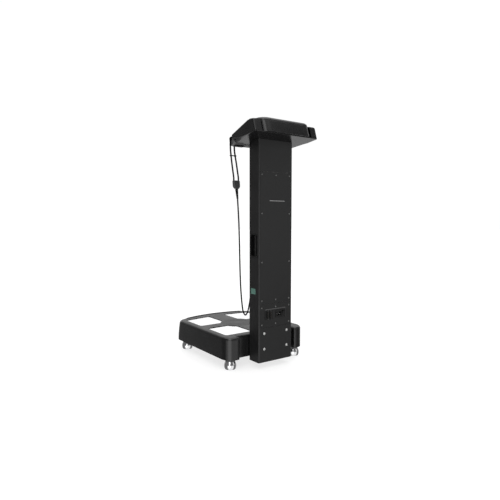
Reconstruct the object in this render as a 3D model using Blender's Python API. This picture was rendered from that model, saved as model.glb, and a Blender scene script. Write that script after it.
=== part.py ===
"""Body composition analyser: a stand-on platform, a column and a console with hand grips.

Metres, +Z up. The person stands on the platform facing +Y, so the front is -Y, and left
and right are theirs: right is +X. The origin is on the floor, under the middle of the box.
"""
import math

import bmesh
import bpy
from mathutils import Matrix, Vector

for old_object in list(bpy.data.objects):
    bpy.data.objects.remove(old_object)

# Clearances
TOUCH = 0.0003                # between pieces that seat on each other
LOOSE = 0.0005                # round pieces that slide, lift out or rock
OVERSHOOT = 0.004             # how far a cutter runs past the face it opens

# Platform base
BASE_WIDTH = 0.435
BASE_LENGTH = 0.527           # back face to the foremost point of the bowed front
BASE_BOTTOM = 0.044           # underside above the floor
BASE_HEIGHT = 0.098
BASE_BOW = 0.050              # how much further the front reaches in the middle
BASE_LEAN = 0.018             # how far the front stands back at the top
BASE_LEVELS = (0.0, 0.3, 0.6)    # shares of the height where the leaning front is drawn
BASE_BACK_CORNER = 0.050
BASE_FRONT_CORNER = 0.050
BASE_EDGE = 0.012             # round of the top edge
BASE_WALL = 0.003
BASE_TOP_WALL = 0.009
LIP_HEIGHT = 0.003            # raised edge along the bowed front
LIP_WIDTH = 0.003
LIP_END = 0.040               # base's side to the lip's end
NOTCH_SIDE_INSET = 0.0655     # base's side to the notch behind which the column stands
BASE_SETBACK = 0.050          # column back face to base back face
BOTTOM_PLATE = 0.002

# Foot electrodes and centre pad
PAD_SETBACK = 0.250           # base back face to the pad's centre
PAD_RADIUS = 0.075
PAD_THICKNESS = 0.0016
PAD_PROUD = 0.0004
ELECTRODE_INNER = 0.046       # inner edges from the middle line
ELECTRODE_MARGIN = 0.0315     # outer edges to the base's side
ELECTRODE_NEAR = 0.031        # near edges from the pad's centre
TOE_MARGIN = 0.039            # far edge of the toe electrodes to the column
HEEL_MARGIN = 0.077           # far inner corner of the heel electrodes to the foremost point
HEEL_SKEW = 0.019             # how much shorter they are along the outer edge
ELECTRODE_CORNER = 0.012
ELECTRODE_RING_GAP = 0.006    # between the pad and the round that trims the inner corners
ELECTRODE_THICKNESS = 0.002
ELECTRODE_SUNK = 0.002        # plate's face below the platform top
POCKET_CLEARANCE = 0.0004

# Chassis, load cells and levelling feet
CHASSIS_SIDE_GAP = 0.016      # base's side to the side rails
CHASSIS_RAIL = 0.040
CHASSIS_HEIGHT = 0.034
CHASSIS_FRONT_GAP = 0.110     # foremost point of the base to the front beam
CHASSIS_TAIL_WIDTH = 0.230
CHASSIS_TAIL = 0.010          # thickness of the plate that takes the column bolts
CELL_LENGTH = 0.110
CELL_WIDTH = 0.022
CELL_HEIGHT = 0.024
CELL_PAD = 0.0016             # packing between cell and chassis
CELL_PAD_LENGTH = 0.030
CELL_END = 0.014              # foot centre to the cell's end
CELL_SLOT_LENGTH = 0.030
CELL_SLOT_HEIGHT = 0.010
CELL_BOX_SIZE = (0.090, 0.060, 0.022)
FOOT_SIDE_INSET = 0.038       # base's side to the feet
FOOT_BACK_INSET = 0.0385      # base back face to the rear feet
FOOT_FRONT_INSET = 0.0945     # foremost point of the base to the front feet
FOOT_BARREL = ((0.0235, 0.0), (0.0252, 0.003), (0.0270, 0.011), (0.0270, 0.020), (0.0250, 0.028))
FOOT_SHOULDER = 0.0215        # radius at the barrel's top
FOOT_GAP = 0.010              # foot's body below the base
STUD_RADIUS = 0.005
STUD_SHORT = 0.0068           # stud's end below the load cell's top
STUD_HOLE_RADIUS = 0.012

# Column
COLUMN_WIDTH = 0.183
COLUMN_DEPTH = 0.072
COLUMN_WALL = 0.002
COLUMN_CORNER = 0.006
COLUMN_DROP = 0.016           # column's foot below the base
COLUMN_TOP = 0.980            # at the back face, where the head rests
COVER_SIDE_GAP = 0.007        # column's side to the covers
COVER_HEAD_GAP = 0.134        # covers' top to the column's top
COVER_RISE = 0.037            # platform top to the covers' bottom
PANEL_HEIGHT = 0.1015         # lower cover, which holds the sockets
COVER_GAP = 0.0005            # visible joint round each cover
FRAME_THICKNESS = 0.002
FRAME_LAP = 0.008             # how far the frame laps behind the wall
FRAME_BAR = 0.014             # width of its side bars
SCREW_SIDE_INSET = 0.0095     # screw centres from the covers' edges
SCREW_TOP_INSET = 0.013
SCREW_SEAM_INSET = 0.0155
SCREW_BOTTOM_INSET = 0.0125
SCREW_MIDDLE_SHARES = (0.305, 0.693)    # middle rows, down from the upper cover's top row
SCREW_HOLE_RADIUS = 0.0018
BOLT_SIDE_INSET = 0.0292      # column's side to the bolts
BOLT_LOW_RISE = 0.0426        # above the base's underside
BOLT_HIGH_RISE = 0.012        # above the platform top
BOLT_HEAD_RADIUS = 0.0065
BOLT_HEAD = 0.0035
BOLT_HEAD_CHAMFER = 0.0014
BOLT_SHANK_RADIUS = 0.004
SPACER_SIDE_GAP = 0.009       # column's side to the box section in its foot
SPACER_WALL = 0.004
SPACER_RISE = 0.018           # above the base's underside
SPACER_MARGIN = 0.003         # below the cover frame
GLAND_X = 0.050
GLAND_Z = 0.335
GLAND_BODY_RADIUS = 0.006
GLAND_FLANGE_RADIUS = 0.010
GLAND_NECK_RADIUS = 0.0062
GLAND_TIP_RADIUS = 0.0042
GLAND_NUT_RADIUS = 0.009
GLAND_REACH = 0.0153          # tip in front of the column
GLAND_FLANGE = 0.005
GLAND_SHOULDER = 0.001
GLAND_NUT = 0.005
SUPPLY_SIZE = (0.100, 0.040, 0.090)
SUPPLY_Z = 0.380
BOARD_SIZE = (0.120, 0.0016, 0.170)
BOARD_Z = 0.610
BOARD_POST = 0.008
BOARD_POST_RADIUS = 0.004
BOARD_POST_INSET = 0.008

# Hand holes in the column's sides
CUP_CENTRE_DEPTH = 0.0355     # column back face to the cup's middle
CUP_WIDTH = 0.050
CUP_LOW = 0.485
CUP_HEIGHT = 0.095
CUP_DEPTH = 0.026
CUP_WALL = 0.002
CUP_FLANGE = 0.005
CUP_FLANGE_THICKNESS = 0.0015
CUP_CORNER = 0.008

# Sockets on the lower back panel
SOCKET_RISE = 0.0535          # above the panel's bottom
INLET_X = -0.0255
INLET_SIZE = (0.050, 0.034)
INLET_CORNER = 0.003
INLET_BEZEL = 0.0025
INLET_BODY_LAP = 0.003
INLET_DEPTH = 0.032
INLET_MOUTH = (0.0245, 0.0165)
INLET_MOUTH_DEPTH = 0.018
INLET_MOUTH_OFFSET = 0.0095   # from the module's middle, towards +X
ROCKER_OFFSET = -0.0145
ROCKER_SIZE = (0.0125, 0.0215)
ROCKER_WELL_DEPTH = 0.014
ROCKER_HALF_ANGLE = math.radians(8)
ROCKER_PIVOT_DEPTH = 0.0035
ROCKER_PROUD = 0.0042
ROCKER_TIP_DEPTH = 0.0007     # its widest line below the bezel's face
ROCKER_ROOT_DEPTH = 0.0063    # behind the pivot
ROCKER_ROOT_SHARE = 0.45      # of its height, where it narrows behind the pivot
ROCKER_CROWN_SHARE = 0.92     # of its height, along the dished face
PORTS_X = 0.0375
PORTS_SIZE = (0.042, 0.040)
PORTS_BEZEL = 0.0015
PORTS_BODY_LAP = 0.003
PORTS_DEPTH = 0.012
PORT_PITCH = 0.0155
PORT_SHELL = (0.0085, 0.0300)
PORT_TAPER = 0.0018
PORT_CORNER = 0.0015
PORT_REACH = 0.006

# Console head
HEAD_WIDTH = 0.335
HEAD_WALL = 0.003
HEAD_BACK_OVERHANG = 0.078
HEAD_FRONT_OVERHANG = 0.018
HEAD_UNDERSLOPE = 0.137       # rise of the underside per metre towards the back
HEAD_RIDGE = 0.0655           # top ridge above the column's top
HEAD_RIDGE_INSET = 0.034
HEAD_LEAN = 0.016             # how far the back stands forward at the ridge
HEAD_BACK_ROUND = 0.008
HEAD_BACK_STEP = 0.010
HEAD_BACK_DROP = 0.003
HEAD_SLOPE_INSET = 0.058
HEAD_SLOPE_DROP = 0.003
HEAD_TOP_ROUND = 0.007
DISPLAY_PITCH = math.radians(19.5)
BEVEL_START = 0.017           # behind the column back face, where the underside bevel begins
BEVEL_RISE = 0.018
BEVEL_INSET = 0.016
BEVEL_MIN_RISE = 0.001
BEVEL_MIN_INSET = 0.006
BEVEL_STATIONS = (0.0, 0.06, 0.2, 0.4, 0.7, 1.0)    # shares of the way to the head's front
BACK_STATIONS = (0.0, 0.15, 0.5, 1.0)    # shares of the back corner's round
REAR_SIDE_INSET = 0.0355      # head's end to the rear cover
REAR_LAP = 0.055              # how far the rear cover reaches over the head
REAR_BULGE = 0.012
REAR_RISE = 0.009
REAR_CORNER = 0.040
REAR_EDGE = 0.011
REAR_END_WALL = 0.028         # rear cover's ends to its hollow
GLASS_SIZE = (0.232, 0.100)
GLASS_THICKNESS = 0.002
WINDOW_MARGIN = 0.009
PANEL_MARGIN = 0.004
PANEL_THICKNESS = 0.008
MAIN_BOARD_SIZE = (0.150, 0.070)
MAIN_BOARD_THICKNESS = 0.0016
MAIN_BOARD_POST = 0.005
TOP_PLATE = 0.004
HEAD_BOLT_SIDE_INSET = 0.029  # column's side to the bolts that hold the head
HEAD_BOLT_RADIUS = 0.003
HEAD_BOLT_HEAD_RADIUS = 0.006
HEAD_BOLT_HEAD = 0.004
HEAD_BOLT_NUT = 0.005
CABLE_HOLE_RADIUS = 0.014

# Hand grips and their cradles
GRIP_RADIUS = 0.019
GRIP_LENGTH = 0.1315
GRIP_END_INSET = 0.014        # head's end to the grip's outer end
GRIP_RISE = 0.001             # grip axis above the column's top
GRIP_CHAMFER = 0.0025
SLEEVE_INSET = 0.016          # grip's inner end to the palm electrode
SLEEVE_LENGTH = 0.054
SLEEVE_WALL = 0.0020
CRADLE_WALL = 0.0035
CRADLE_INSET = 0.008          # grip's inner end to the inner saddle
CRADLE_INNER_LENGTH = 0.060
CRADLE_OUTER_LENGTH = 0.008
CRADLE_RISE = 0.016
CRADLE_RAIL_DROP = 0.004
CRADLE_LIP = math.radians(-140)
TERMINAL_LENGTH = 0.050
TERMINAL_GAP = 0.0015         # to the outer saddle
TERMINAL_WIDTH = 0.018
TERMINAL_DROP = 0.0235        # below the grip's axis
TERMINAL_CORNER = 0.004
THUMB_INSET = 0.0365          # grip's outer end to the thumb electrode's middle
THUMB_SIZE = (0.028, 0.016)
THUMB_SEAT = 0.0165
THUMB_HEIGHT = 0.0030

# Hand cord: one cord from the column, parting into two leads
CORD_DIAMETER = 0.0065
LEAD_DIAMETER = 0.007
BOOT_RISE = 0.011             # boot above the grip's axis
BOOT_RADIUS = 0.0053
BOOT_TURN = 0.0055            # grip's end to the middle of the boot's downward arm
BOOT_ARM = ((0.0048, 0.0), (0.0048, 0.0080), (0.0042, 0.0125))   # radius, way down
JUNCTION_WIDTH = 0.034
JUNCTION_THICKNESS = 0.014
JUNCTION_SECTIONS = ((0.0, 0.92), (0.06, 1.0), (0.60, 1.0), (0.85, 0.84), (1.0, 0.50))  # way down, width
JUNCTION_THINNING = 0.15      # share of the thickness that follows the width
JUNCTION_ROUND = 0.6          # corner radius over half the thickness
RELIEF_RADII = (0.0068, 0.0042)
CLIP_HEIGHT = 0.005
CLIP_RING_WALL = 0.0016
CLIP_BAR = (0.0025, 0.004)    # depth and height of the bar between the rings

# Planes that the pieces share
FRONT_REACH = BASE_SETBACK + BASE_LENGTH
BACK_REACH = HEAD_BACK_OVERHANG + REAR_BULGE
COLUMN_BACK = (FRONT_REACH - BACK_REACH) / 2
COLUMN_FRONT = COLUMN_BACK - COLUMN_DEPTH
COLUMN_MIDDLE = (COLUMN_FRONT + COLUMN_BACK) / 2
COLUMN_HALF = COLUMN_WIDTH / 2
COLUMN_BOTTOM = BASE_BOTTOM - COLUMN_DROP
BASE_BACK = COLUMN_BACK - BASE_SETBACK
BASE_FRONT = BASE_BACK - BASE_LENGTH
BASE_HALF = BASE_WIDTH / 2
BASE_TOP = BASE_BOTTOM + BASE_HEIGHT
PAD_Y = BASE_BACK - PAD_SETBACK
ELECTRODE_OUTER = BASE_HALF - ELECTRODE_MARGIN
ELECTRODE_RING = PAD_RADIUS + ELECTRODE_RING_GAP
TOE_FAR = COLUMN_FRONT - TOE_MARGIN - PAD_Y
HEEL_FAR_INNER = PAD_Y - BASE_FRONT - HEEL_MARGIN
HEEL_FAR_OUTER = HEEL_FAR_INNER - HEEL_SKEW
CHASSIS_HALF = BASE_HALF - CHASSIS_SIDE_GAP
CHASSIS_TOP = BASE_TOP - BASE_TOP_WALL - TOUCH
CHASSIS_BOTTOM = CHASSIS_TOP - CHASSIS_HEIGHT
CHASSIS_BACK = COLUMN_FRONT - LOOSE - BASE_WALL - TOUCH
CELL_TOP = CHASSIS_BOTTOM - TOUCH - CELL_PAD
CELL_BOTTOM = CELL_TOP - CELL_HEIGHT
FOOT_X = BASE_HALF - FOOT_SIDE_INSET
FOOT_BACK_Y = BASE_BACK - FOOT_BACK_INSET
FOOT_FRONT_Y = BASE_FRONT + FOOT_FRONT_INSET
FOOT_BODY_TOP = BASE_BOTTOM - FOOT_GAP
STUD_TOP = CELL_TOP - STUD_SHORT
COVER_HALF = COLUMN_HALF - COVER_SIDE_GAP
COVER_TOP = COLUMN_TOP - COVER_HEAD_GAP
COVER_BOTTOM = BASE_TOP + COVER_RISE
COVER_SEAM = COVER_BOTTOM + PANEL_HEIGHT
SCREW_X = COVER_HALF - SCREW_SIDE_INSET
SCREW_TOP_ROW = COVER_TOP - SCREW_TOP_INSET
SCREW_ABOVE_SEAM = COVER_SEAM + SCREW_SEAM_INSET
SCREW_BELOW_SEAM = COVER_SEAM - SCREW_SEAM_INSET
SCREW_BOTTOM_ROW = COVER_BOTTOM + SCREW_BOTTOM_INSET
SPACER_HALF = COLUMN_HALF - SPACER_SIDE_GAP
SPACER_BOTTOM = BASE_BOTTOM + SPACER_RISE
SPACER_TOP = COVER_BOTTOM - FRAME_LAP - SPACER_MARGIN
BOLT_X = COLUMN_HALF - BOLT_SIDE_INSET
BOLT_LOW = BASE_BOTTOM + BOLT_LOW_RISE
BOLT_HIGH = BASE_TOP + BOLT_HIGH_RISE
SOCKET_Z = COVER_BOTTOM + SOCKET_RISE
CUP_HIGH = CUP_LOW + CUP_HEIGHT
HEAD_BACK = COLUMN_BACK + HEAD_BACK_OVERHANG
HEAD_FRONT = COLUMN_FRONT - HEAD_FRONT_OVERHANG
HEAD_HALF = HEAD_WIDTH / 2
REAR_HALF = HEAD_HALF - REAR_SIDE_INSET
RIDGE_Z = COLUMN_TOP + HEAD_RIDGE
RIDGE_Y = HEAD_BACK - HEAD_RIDGE_INSET
SLOPE_Y = HEAD_BACK - HEAD_SLOPE_INSET
SLOPE_Z = RIDGE_Z - HEAD_SLOPE_DROP
BEVEL_Y = COLUMN_BACK + BEVEL_START
HEAD_BOLT_X = COLUMN_HALF - HEAD_BOLT_SIDE_INSET
GRIP_OUTER = HEAD_HALF - GRIP_END_INSET
GRIP_INNER = GRIP_OUTER - GRIP_LENGTH
SLEEVE_INNER = GRIP_INNER + SLEEVE_INSET
SLEEVE_OUTER = SLEEVE_INNER + SLEEVE_LENGTH
CRADLE_OUTER = (GRIP_OUTER - CRADLE_OUTER_LENGTH, GRIP_OUTER)
CRADLE_INNER = (GRIP_INNER + CRADLE_INSET, GRIP_INNER + CRADLE_INSET + CRADLE_INNER_LENGTH)
TERMINAL_END = CRADLE_OUTER[0] - TERMINAL_GAP
TERMINAL_X = (TERMINAL_END - TERMINAL_LENGTH, TERMINAL_END)
THUMB_X = GRIP_OUTER - THUMB_INSET
CRADLE_RADIUS = GRIP_RADIUS + LOOSE
GRIP_Y = HEAD_FRONT - TOUCH - CRADLE_WALL - CRADLE_RADIUS
GRIP_Z = COLUMN_TOP + GRIP_RISE

# Routes of the hand cord and its leads, (x, y, z)
PALM_LEAD_ROUTE = (
    (0.1593, 0.1302, 0.9792), (0.1593, 0.1302, 0.9720), (0.1592, 0.1300, 0.9580),
    (0.1584, 0.1297, 0.9400), (0.1561, 0.1295, 0.9200), (0.1516, 0.1295, 0.8850),
    (0.1462, 0.1295, 0.8500), (0.1424, 0.1295, 0.8260), (0.1420, 0.1295, 0.8123),
)
THUMB_LEAD_ROUTE = (
    (0.1395, 0.1305, 0.9572), (0.1394, 0.1304, 0.9480), (0.1380, 0.1300, 0.9340),
    (0.1340, 0.1297, 0.9120), (0.1285, 0.1295, 0.8850), (0.1225, 0.1295, 0.8500),
    (0.1184, 0.1295, 0.8260), (0.1180, 0.1295, 0.8123),
)
CORD_ROUTE = (
    (0.1225, 0.1295, 0.7327), (0.1212, 0.1295, 0.7150), (0.1182, 0.1295, 0.6700),
    (0.1155, 0.1295, 0.6217), (0.1130, 0.1295, 0.5400), (0.1112, 0.1295, 0.4646),
    (0.1088, 0.1295, 0.3900), (0.1052, 0.1295, 0.3260), (0.1000, 0.1295, 0.2740),
    (0.0935, 0.1295, 0.2360), (0.0810, 0.1295, 0.2180), (0.0685, 0.1295, 0.2330),
    (0.0605, 0.1294, 0.2620), (0.0545, 0.1292, 0.2920), (0.0508, 0.1295, 0.3160),
    (0.0502, 0.1319, 0.3260), (0.0500, 0.1385, 0.3326), (0.0500, 0.1475, 0.3350),
    (0.0500, 0.1559, 0.3350),
)
JUNCTION_TOP = (0.1300, 0.1295, 0.8120)
JUNCTION_BOTTOM = (0.1275, 0.1295, 0.7760)
CLIP_Z = 0.917


def finish(name, colour, roughness, metallic=0.0):
    """A plain Principled material."""
    made = bpy.data.materials.new(name)
    made.use_nodes = True
    shader = made.node_tree.nodes["Principled BSDF"]
    shader.inputs["Base Color"].default_value = (*colour, 1.0)
    shader.inputs["Roughness"].default_value = roughness
    shader.inputs["Metallic"].default_value = metallic
    made.diffuse_color = (*colour, 1.0)
    return made


BLACK_SHELL = finish("black_shell_plastic", (0.022, 0.022, 0.023), 0.32)
CONSOLE_PLASTIC = finish("console_plastic", (0.020, 0.020, 0.021), 0.35)
COLUMN_PAINT = finish("column_paint", (0.030, 0.030, 0.031), 0.45)
SOCKET_PLASTIC = finish("socket_plastic", (0.012, 0.012, 0.012), 0.40)
GRIP_PLASTIC = finish("grip_plastic", (0.060, 0.060, 0.061), 0.45)
RUBBER = finish("cord_rubber", (0.014, 0.014, 0.014), 0.55)
PAD_PLASTIC = finish("pad_plastic", (0.018, 0.018, 0.019), 0.60)
POLISHED_STEEL = finish("polished_steel", (0.72, 0.72, 0.73), 0.22, 1.0)
CHROME = finish("chrome", (0.80, 0.80, 0.82), 0.08, 1.0)
ZINC_STEEL = finish("zinc_steel", (0.55, 0.55, 0.56), 0.35, 1.0)
GLASS = finish("display_glass", (0.010, 0.010, 0.012), 0.06)
CIRCUIT = finish("circuit_board", (0.02, 0.12, 0.05), 0.50)
CAST_ALLOY = finish("cast_alloy", (0.62, 0.63, 0.65), 0.38, 1.0)


def arc(centre, radius, start, end, steps):
    """Points of a round stretch from one angle to another."""
    points = []
    for step in range(steps + 1):
        angle = start + (end - start) * step / steps
        points.append((centre[0] + radius * math.cos(angle), centre[1] + radius * math.sin(angle)))
    return points


def circle(centre, radius, sides):
    return arc(centre, radius, 0, math.tau, sides)[:-1]


def rounded_outline(corners, steps=3):
    """An outline through corners (x, y, radius), each turned by an arc of its own radius."""
    points = []
    count = len(corners)
    for index, (x, y, radius) in enumerate(corners):
        corner = Vector((x, y))
        if radius <= 0:
            points.append((x, y))
            continue
        before = (Vector(corners[index - 1][:2]) - corner).normalized()
        after = (Vector(corners[(index + 1) % count][:2]) - corner).normalized()
        half = before.angle(after) / 2
        reach = radius / math.tan(half)
        centre = corner + (before + after).normalized() * radius / math.sin(half)
        start = corner + before * reach - centre
        end = corner + after * reach - centre
        turn = start.angle_signed(end)
        first = math.atan2(start.y, start.x)
        points += arc(centre, radius, first, first - turn, steps)
    return points


def rectangle(half_x, low_y, high_y, radius=0.0, steps=3):
    right = ((half_x, low_y, radius), (half_x, high_y, radius))
    left = ((-half_x, high_y, radius), (-half_x, low_y, radius))
    return rounded_outline(right + left, steps)


def loft(rings):
    """A closed body through rings of equal point counts."""
    body = bmesh.new()
    loops = []
    for ring in rings:
        loops.append([body.verts.new(point) for point in ring])
    for lower, upper in zip(loops, loops[1:]):
        for index in range(len(lower)):
            following = (index + 1) % len(lower)
            body.faces.new((lower[index], lower[following], upper[following], upper[index]))
    body.faces.new(loops[0][::-1])
    body.faces.new(loops[-1])
    bmesh.ops.recalc_face_normals(body, faces=body.faces)
    return body


def place(outline, axis, level):
    """Lay a flat outline square to an axis: X gives (y, z), Y gives (x, z), Z gives (x, y)."""
    if axis == "X":
        return [(level, a, b) for a, b in outline]
    if axis == "Y":
        return [(a, level, b) for a, b in outline]
    return [(a, b, level) for a, b in outline]


def prism(outline, axis, low, high):
    return loft((place(outline, axis, low), place(outline, axis, high)))


def box(x, y, z):
    return prism(((x[0], y[0]), (x[1], y[0]), (x[1], y[1]), (x[0], y[1])), "Z", z[0], z[1])


def tube(outer, inner, low, top_of):
    """A hollow upright section whose top height follows the depth."""
    body = bmesh.new()
    rings = []
    for outline in (outer, inner):
        rings.append([body.verts.new((x, y, low)) for x, y in outline])
        rings.append([body.verts.new((x, y, top_of(y))) for x, y in outline])
    outer_low, outer_top, inner_low, inner_top = rings
    walls = ((outer_low, outer_top), (outer_top, inner_top), (inner_top, inner_low), (inner_low, outer_low))
    for first, second in walls:
        for index in range(len(first)):
            following = (index + 1) % len(first)
            body.faces.new((first[index], first[following], second[following], second[index]))
    bmesh.ops.recalc_face_normals(body, faces=body.faces)
    return body


def turned(profile, origin, direction, sides=24):
    """A turned body: profile is (radius, distance along direction) pairs."""
    turn = Vector(direction).to_track_quat("Z", "Y").to_matrix()
    rings = []
    for radius, along in profile:
        ring = circle((0, 0), radius, sides)
        rings.append([turn @ Vector((x, y, along)) + Vector(origin) for x, y in ring])
    return loft(rings)


def collar(inner, outer, low, high, origin, direction, sides=24):
    """A plain ring round an axis."""
    turn = Vector(direction).to_track_quat("Z", "Y").to_matrix()
    body = bmesh.new()
    rings = []
    for radius, along in ((inner, low), (outer, low), (outer, high), (inner, high)):
        ring = [turn @ Vector((x, y, along)) + Vector(origin) for x, y in circle((0, 0), radius, sides)]
        rings.append([body.verts.new(point) for point in ring])
    for index, ring in enumerate(rings):
        after = rings[(index + 1) % len(rings)]
        for corner in range(sides):
            following = (corner + 1) % sides
            body.faces.new((ring[corner], ring[following], after[following], after[corner]))
    bmesh.ops.recalc_face_normals(body, faces=body.faces)
    return body


def gather(bodies):
    """Several bodies as one mesh, each still separate."""
    whole = bmesh.new()
    for body in bodies:
        part = bpy.data.meshes.new("part")
        body.to_mesh(part)
        body.free()
        whole.from_mesh(part)
        bpy.data.meshes.remove(part)
    return whole


def make_object(name, body, origin=None):
    mesh = bpy.data.meshes.new(name)
    if origin is not None:
        bmesh.ops.translate(body, verts=body.verts, vec=-Vector(origin))
    body.to_mesh(mesh)
    body.free()
    made = bpy.data.objects.new(name, mesh)
    if origin is not None:
        made.location = origin
    bpy.context.scene.collection.objects.link(made)
    return made


def add_boolean(target, body, operation, label):
    tool = make_object(f"{target.name}_{label}", body)
    tool.hide_render = True
    tool.display_type = "WIRE"
    modifier = target.modifiers.new(label, "BOOLEAN")
    modifier.operation = operation
    modifier.solver = "EXACT"
    modifier.object = tool


def solid(name, material, bodies, cuts=(), origin=None):
    """One node: bodies joined by union, then cuts taken away together."""
    made = make_object(name, bodies[0], origin)
    made.data.materials.append(material)
    made.data.shade_smooth()
    made.data.set_sharp_from_angle(angle=math.radians(32))
    for index, body in enumerate(bodies[1:]):
        add_boolean(made, body, "UNION", f"join_{index}")
    if cuts:
        add_boolean(made, gather(cuts), "DIFFERENCE", "cut")
    return made


def mirrored(outline):
    """An outline of the right half, closed by its mirror image."""
    return list(outline) + [(-x, y) for x, y in reversed(outline)]


def bow_radius():
    return (BASE_HALF ** 2 + BASE_BOW ** 2) / (2 * BASE_BOW)


def lean_at(z):
    """How far the base's front stands back at a height."""
    share = max(z - BASE_BOTTOM, 0.0) / BASE_HEIGHT
    return BASE_LEAN * (1 - math.cos(share * math.pi / 2))


def base_ring(z, inset):
    """The base's section at a height, with the notch that takes the column, drawn in by an inset."""
    bow_centre = (0.0, BASE_FRONT + lean_at(z) + bow_radius())
    front_x = BASE_HALF - BASE_FRONT_CORNER
    front_y = bow_centre[1] - math.sqrt((bow_radius() - BASE_FRONT_CORNER) ** 2 - front_x ** 2)
    bow_angle = math.atan2(front_y - bow_centre[1], front_x)
    back_centre = (BASE_HALF - BASE_BACK_CORNER, BASE_BACK - BASE_BACK_CORNER)
    notch_half = BASE_HALF - NOTCH_SIDE_INSET + inset
    notch_front = COLUMN_FRONT - LOOSE - inset
    points = [(notch_half, notch_front), (notch_half, BASE_BACK - inset)]
    points += arc(back_centre, BASE_BACK_CORNER - inset, math.pi / 2, 0, 6)
    points += arc((front_x, front_y), BASE_FRONT_CORNER - inset, 0, bow_angle, 6)
    points += arc(bow_centre, bow_radius() - inset, bow_angle, -math.pi / 2, 7)[1:]
    return place(points + [(-x, y) for x, y in reversed(points[:-1])], "Z", z)


def front_lip():
    """Raised edge along the bowed front."""
    centre = (0.0, BASE_FRONT + BASE_LEAN + bow_radius())
    outer = bow_radius() - BASE_EDGE
    half_angle = math.asin((BASE_HALF - LIP_END) / outer)
    ends = (-math.pi / 2 - half_angle, -math.pi / 2 + half_angle)
    outline = arc(centre, outer, *ends, 14) + arc(centre, outer - LIP_WIDTH, *ends[::-1], 14)
    return prism(outline, "Z", BASE_TOP - LIP_HEIGHT, BASE_TOP + LIP_HEIGHT)


def electrode_outline(far_inner, far_outer, side, towards, grow=0.0):
    """One foot electrode in plan: a rounded quad whose inner corner is trimmed by a ring."""
    ring = ELECTRODE_RING - grow
    inner = ELECTRODE_INNER - grow
    outer = ELECTRODE_OUTER + grow
    low = ELECTRODE_NEAR - grow
    start = math.asin(low / ring)
    end = math.acos(inner / ring)
    radius = ELECTRODE_CORNER + grow
    corners = [(outer, low, radius), (outer, far_outer + grow, radius), (inner, far_inner + grow, radius)]
    trim = arc((0, 0), ring, end, start, 5)
    corners += [(x, y, 0.0) for x, y in trim]
    flat = rounded_outline(corners)
    return [(side * x, PAD_Y + towards * y) for x, y in flat]


def electrodes():
    """Name and outline arguments of the four foot electrodes."""
    listed = []
    for side, hand in ((-1, "left"), (1, "right")):
        listed.append((f"toe_electrode_{hand}", (TOE_FAR, TOE_FAR, side, 1)))
        listed.append((f"heel_electrode_{hand}", (HEEL_FAR_INNER, HEEL_FAR_OUTER, side, -1)))
    return listed


def foot_places():
    """Name, x, y and the way towards the base's middle for each corner."""
    places = []
    for row, y, inward in (("front", FOOT_FRONT_Y, 1), ("rear", FOOT_BACK_Y, -1)):
        for hand, side in (("left", -1), ("right", 1)):
            places.append((f"{row}_{hand}", side * FOOT_X, y, inward))
    return places


def column_bolt_places():
    """Name, x and z of the bolts through the column's foot."""
    places = []
    for level, z in (("lower", BOLT_LOW), ("upper", BOLT_HIGH)):
        places += [(f"{level}_left", -BOLT_X, z), (f"{level}_right", BOLT_X, z)]
    return places


def build_base_shell():
    levels = [BASE_BOTTOM + BASE_HEIGHT * share for share in BASE_LEVELS]
    rings = [base_ring(z, 0.0) for z in levels]
    for step in range(4):
        angle = math.pi / 2 * step / 3
        inset = BASE_EDGE * (1 - math.cos(angle))
        rings.append(base_ring(BASE_TOP - BASE_EDGE * (1 - math.sin(angle)), inset))
    plate_level = BASE_BOTTOM + BOTTOM_PLATE
    inside = [BASE_BOTTOM - OVERSHOOT, plate_level] + levels[1:] + [BASE_TOP - BASE_TOP_WALL]
    cavity = loft([base_ring(z, BASE_WALL) for z in inside])
    pad_floor = BASE_TOP + PAD_PROUD - PAD_THICKNESS - TOUCH
    plate_floor = BASE_TOP - ELECTRODE_SUNK - ELECTRODE_THICKNESS - TOUCH
    above = BASE_TOP + OVERSHOOT
    cuts = [cavity]
    cuts.append(prism(circle((0, PAD_Y), PAD_RADIUS + POCKET_CLEARANCE, 40), "Z", pad_floor, above))
    for _, shape in electrodes():
        cuts.append(prism(electrode_outline(*shape, POCKET_CLEARANCE), "Z", plate_floor, above))
    shell = solid("base_shell", BLACK_SHELL, [loft(rings), front_lip()], cuts)
    holes = []
    for side in (-1, 1):
        hole = circle((side * BOLT_X, BOLT_LOW), BOLT_SHANK_RADIUS + LOOSE, 12)
        holes.append(prism(hole, "Y", CHASSIS_BACK - OVERSHOOT, COLUMN_FRONT + OVERSHOOT))
    add_boolean(shell, gather(holes), "DIFFERENCE", "bolt_holes")


def build_base_top():
    pad_top = BASE_TOP + PAD_PROUD
    pad = prism(circle((0, PAD_Y), PAD_RADIUS, 40), "Z", pad_top - PAD_THICKNESS, pad_top)
    solid("centre_pad", PAD_PLASTIC, [pad])
    plate_top = BASE_TOP - ELECTRODE_SUNK
    for name, shape in electrodes():
        plate = prism(electrode_outline(*shape), "Z", plate_top - ELECTRODE_THICKNESS, plate_top)
        solid(name, POLISHED_STEEL, [plate])


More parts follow.
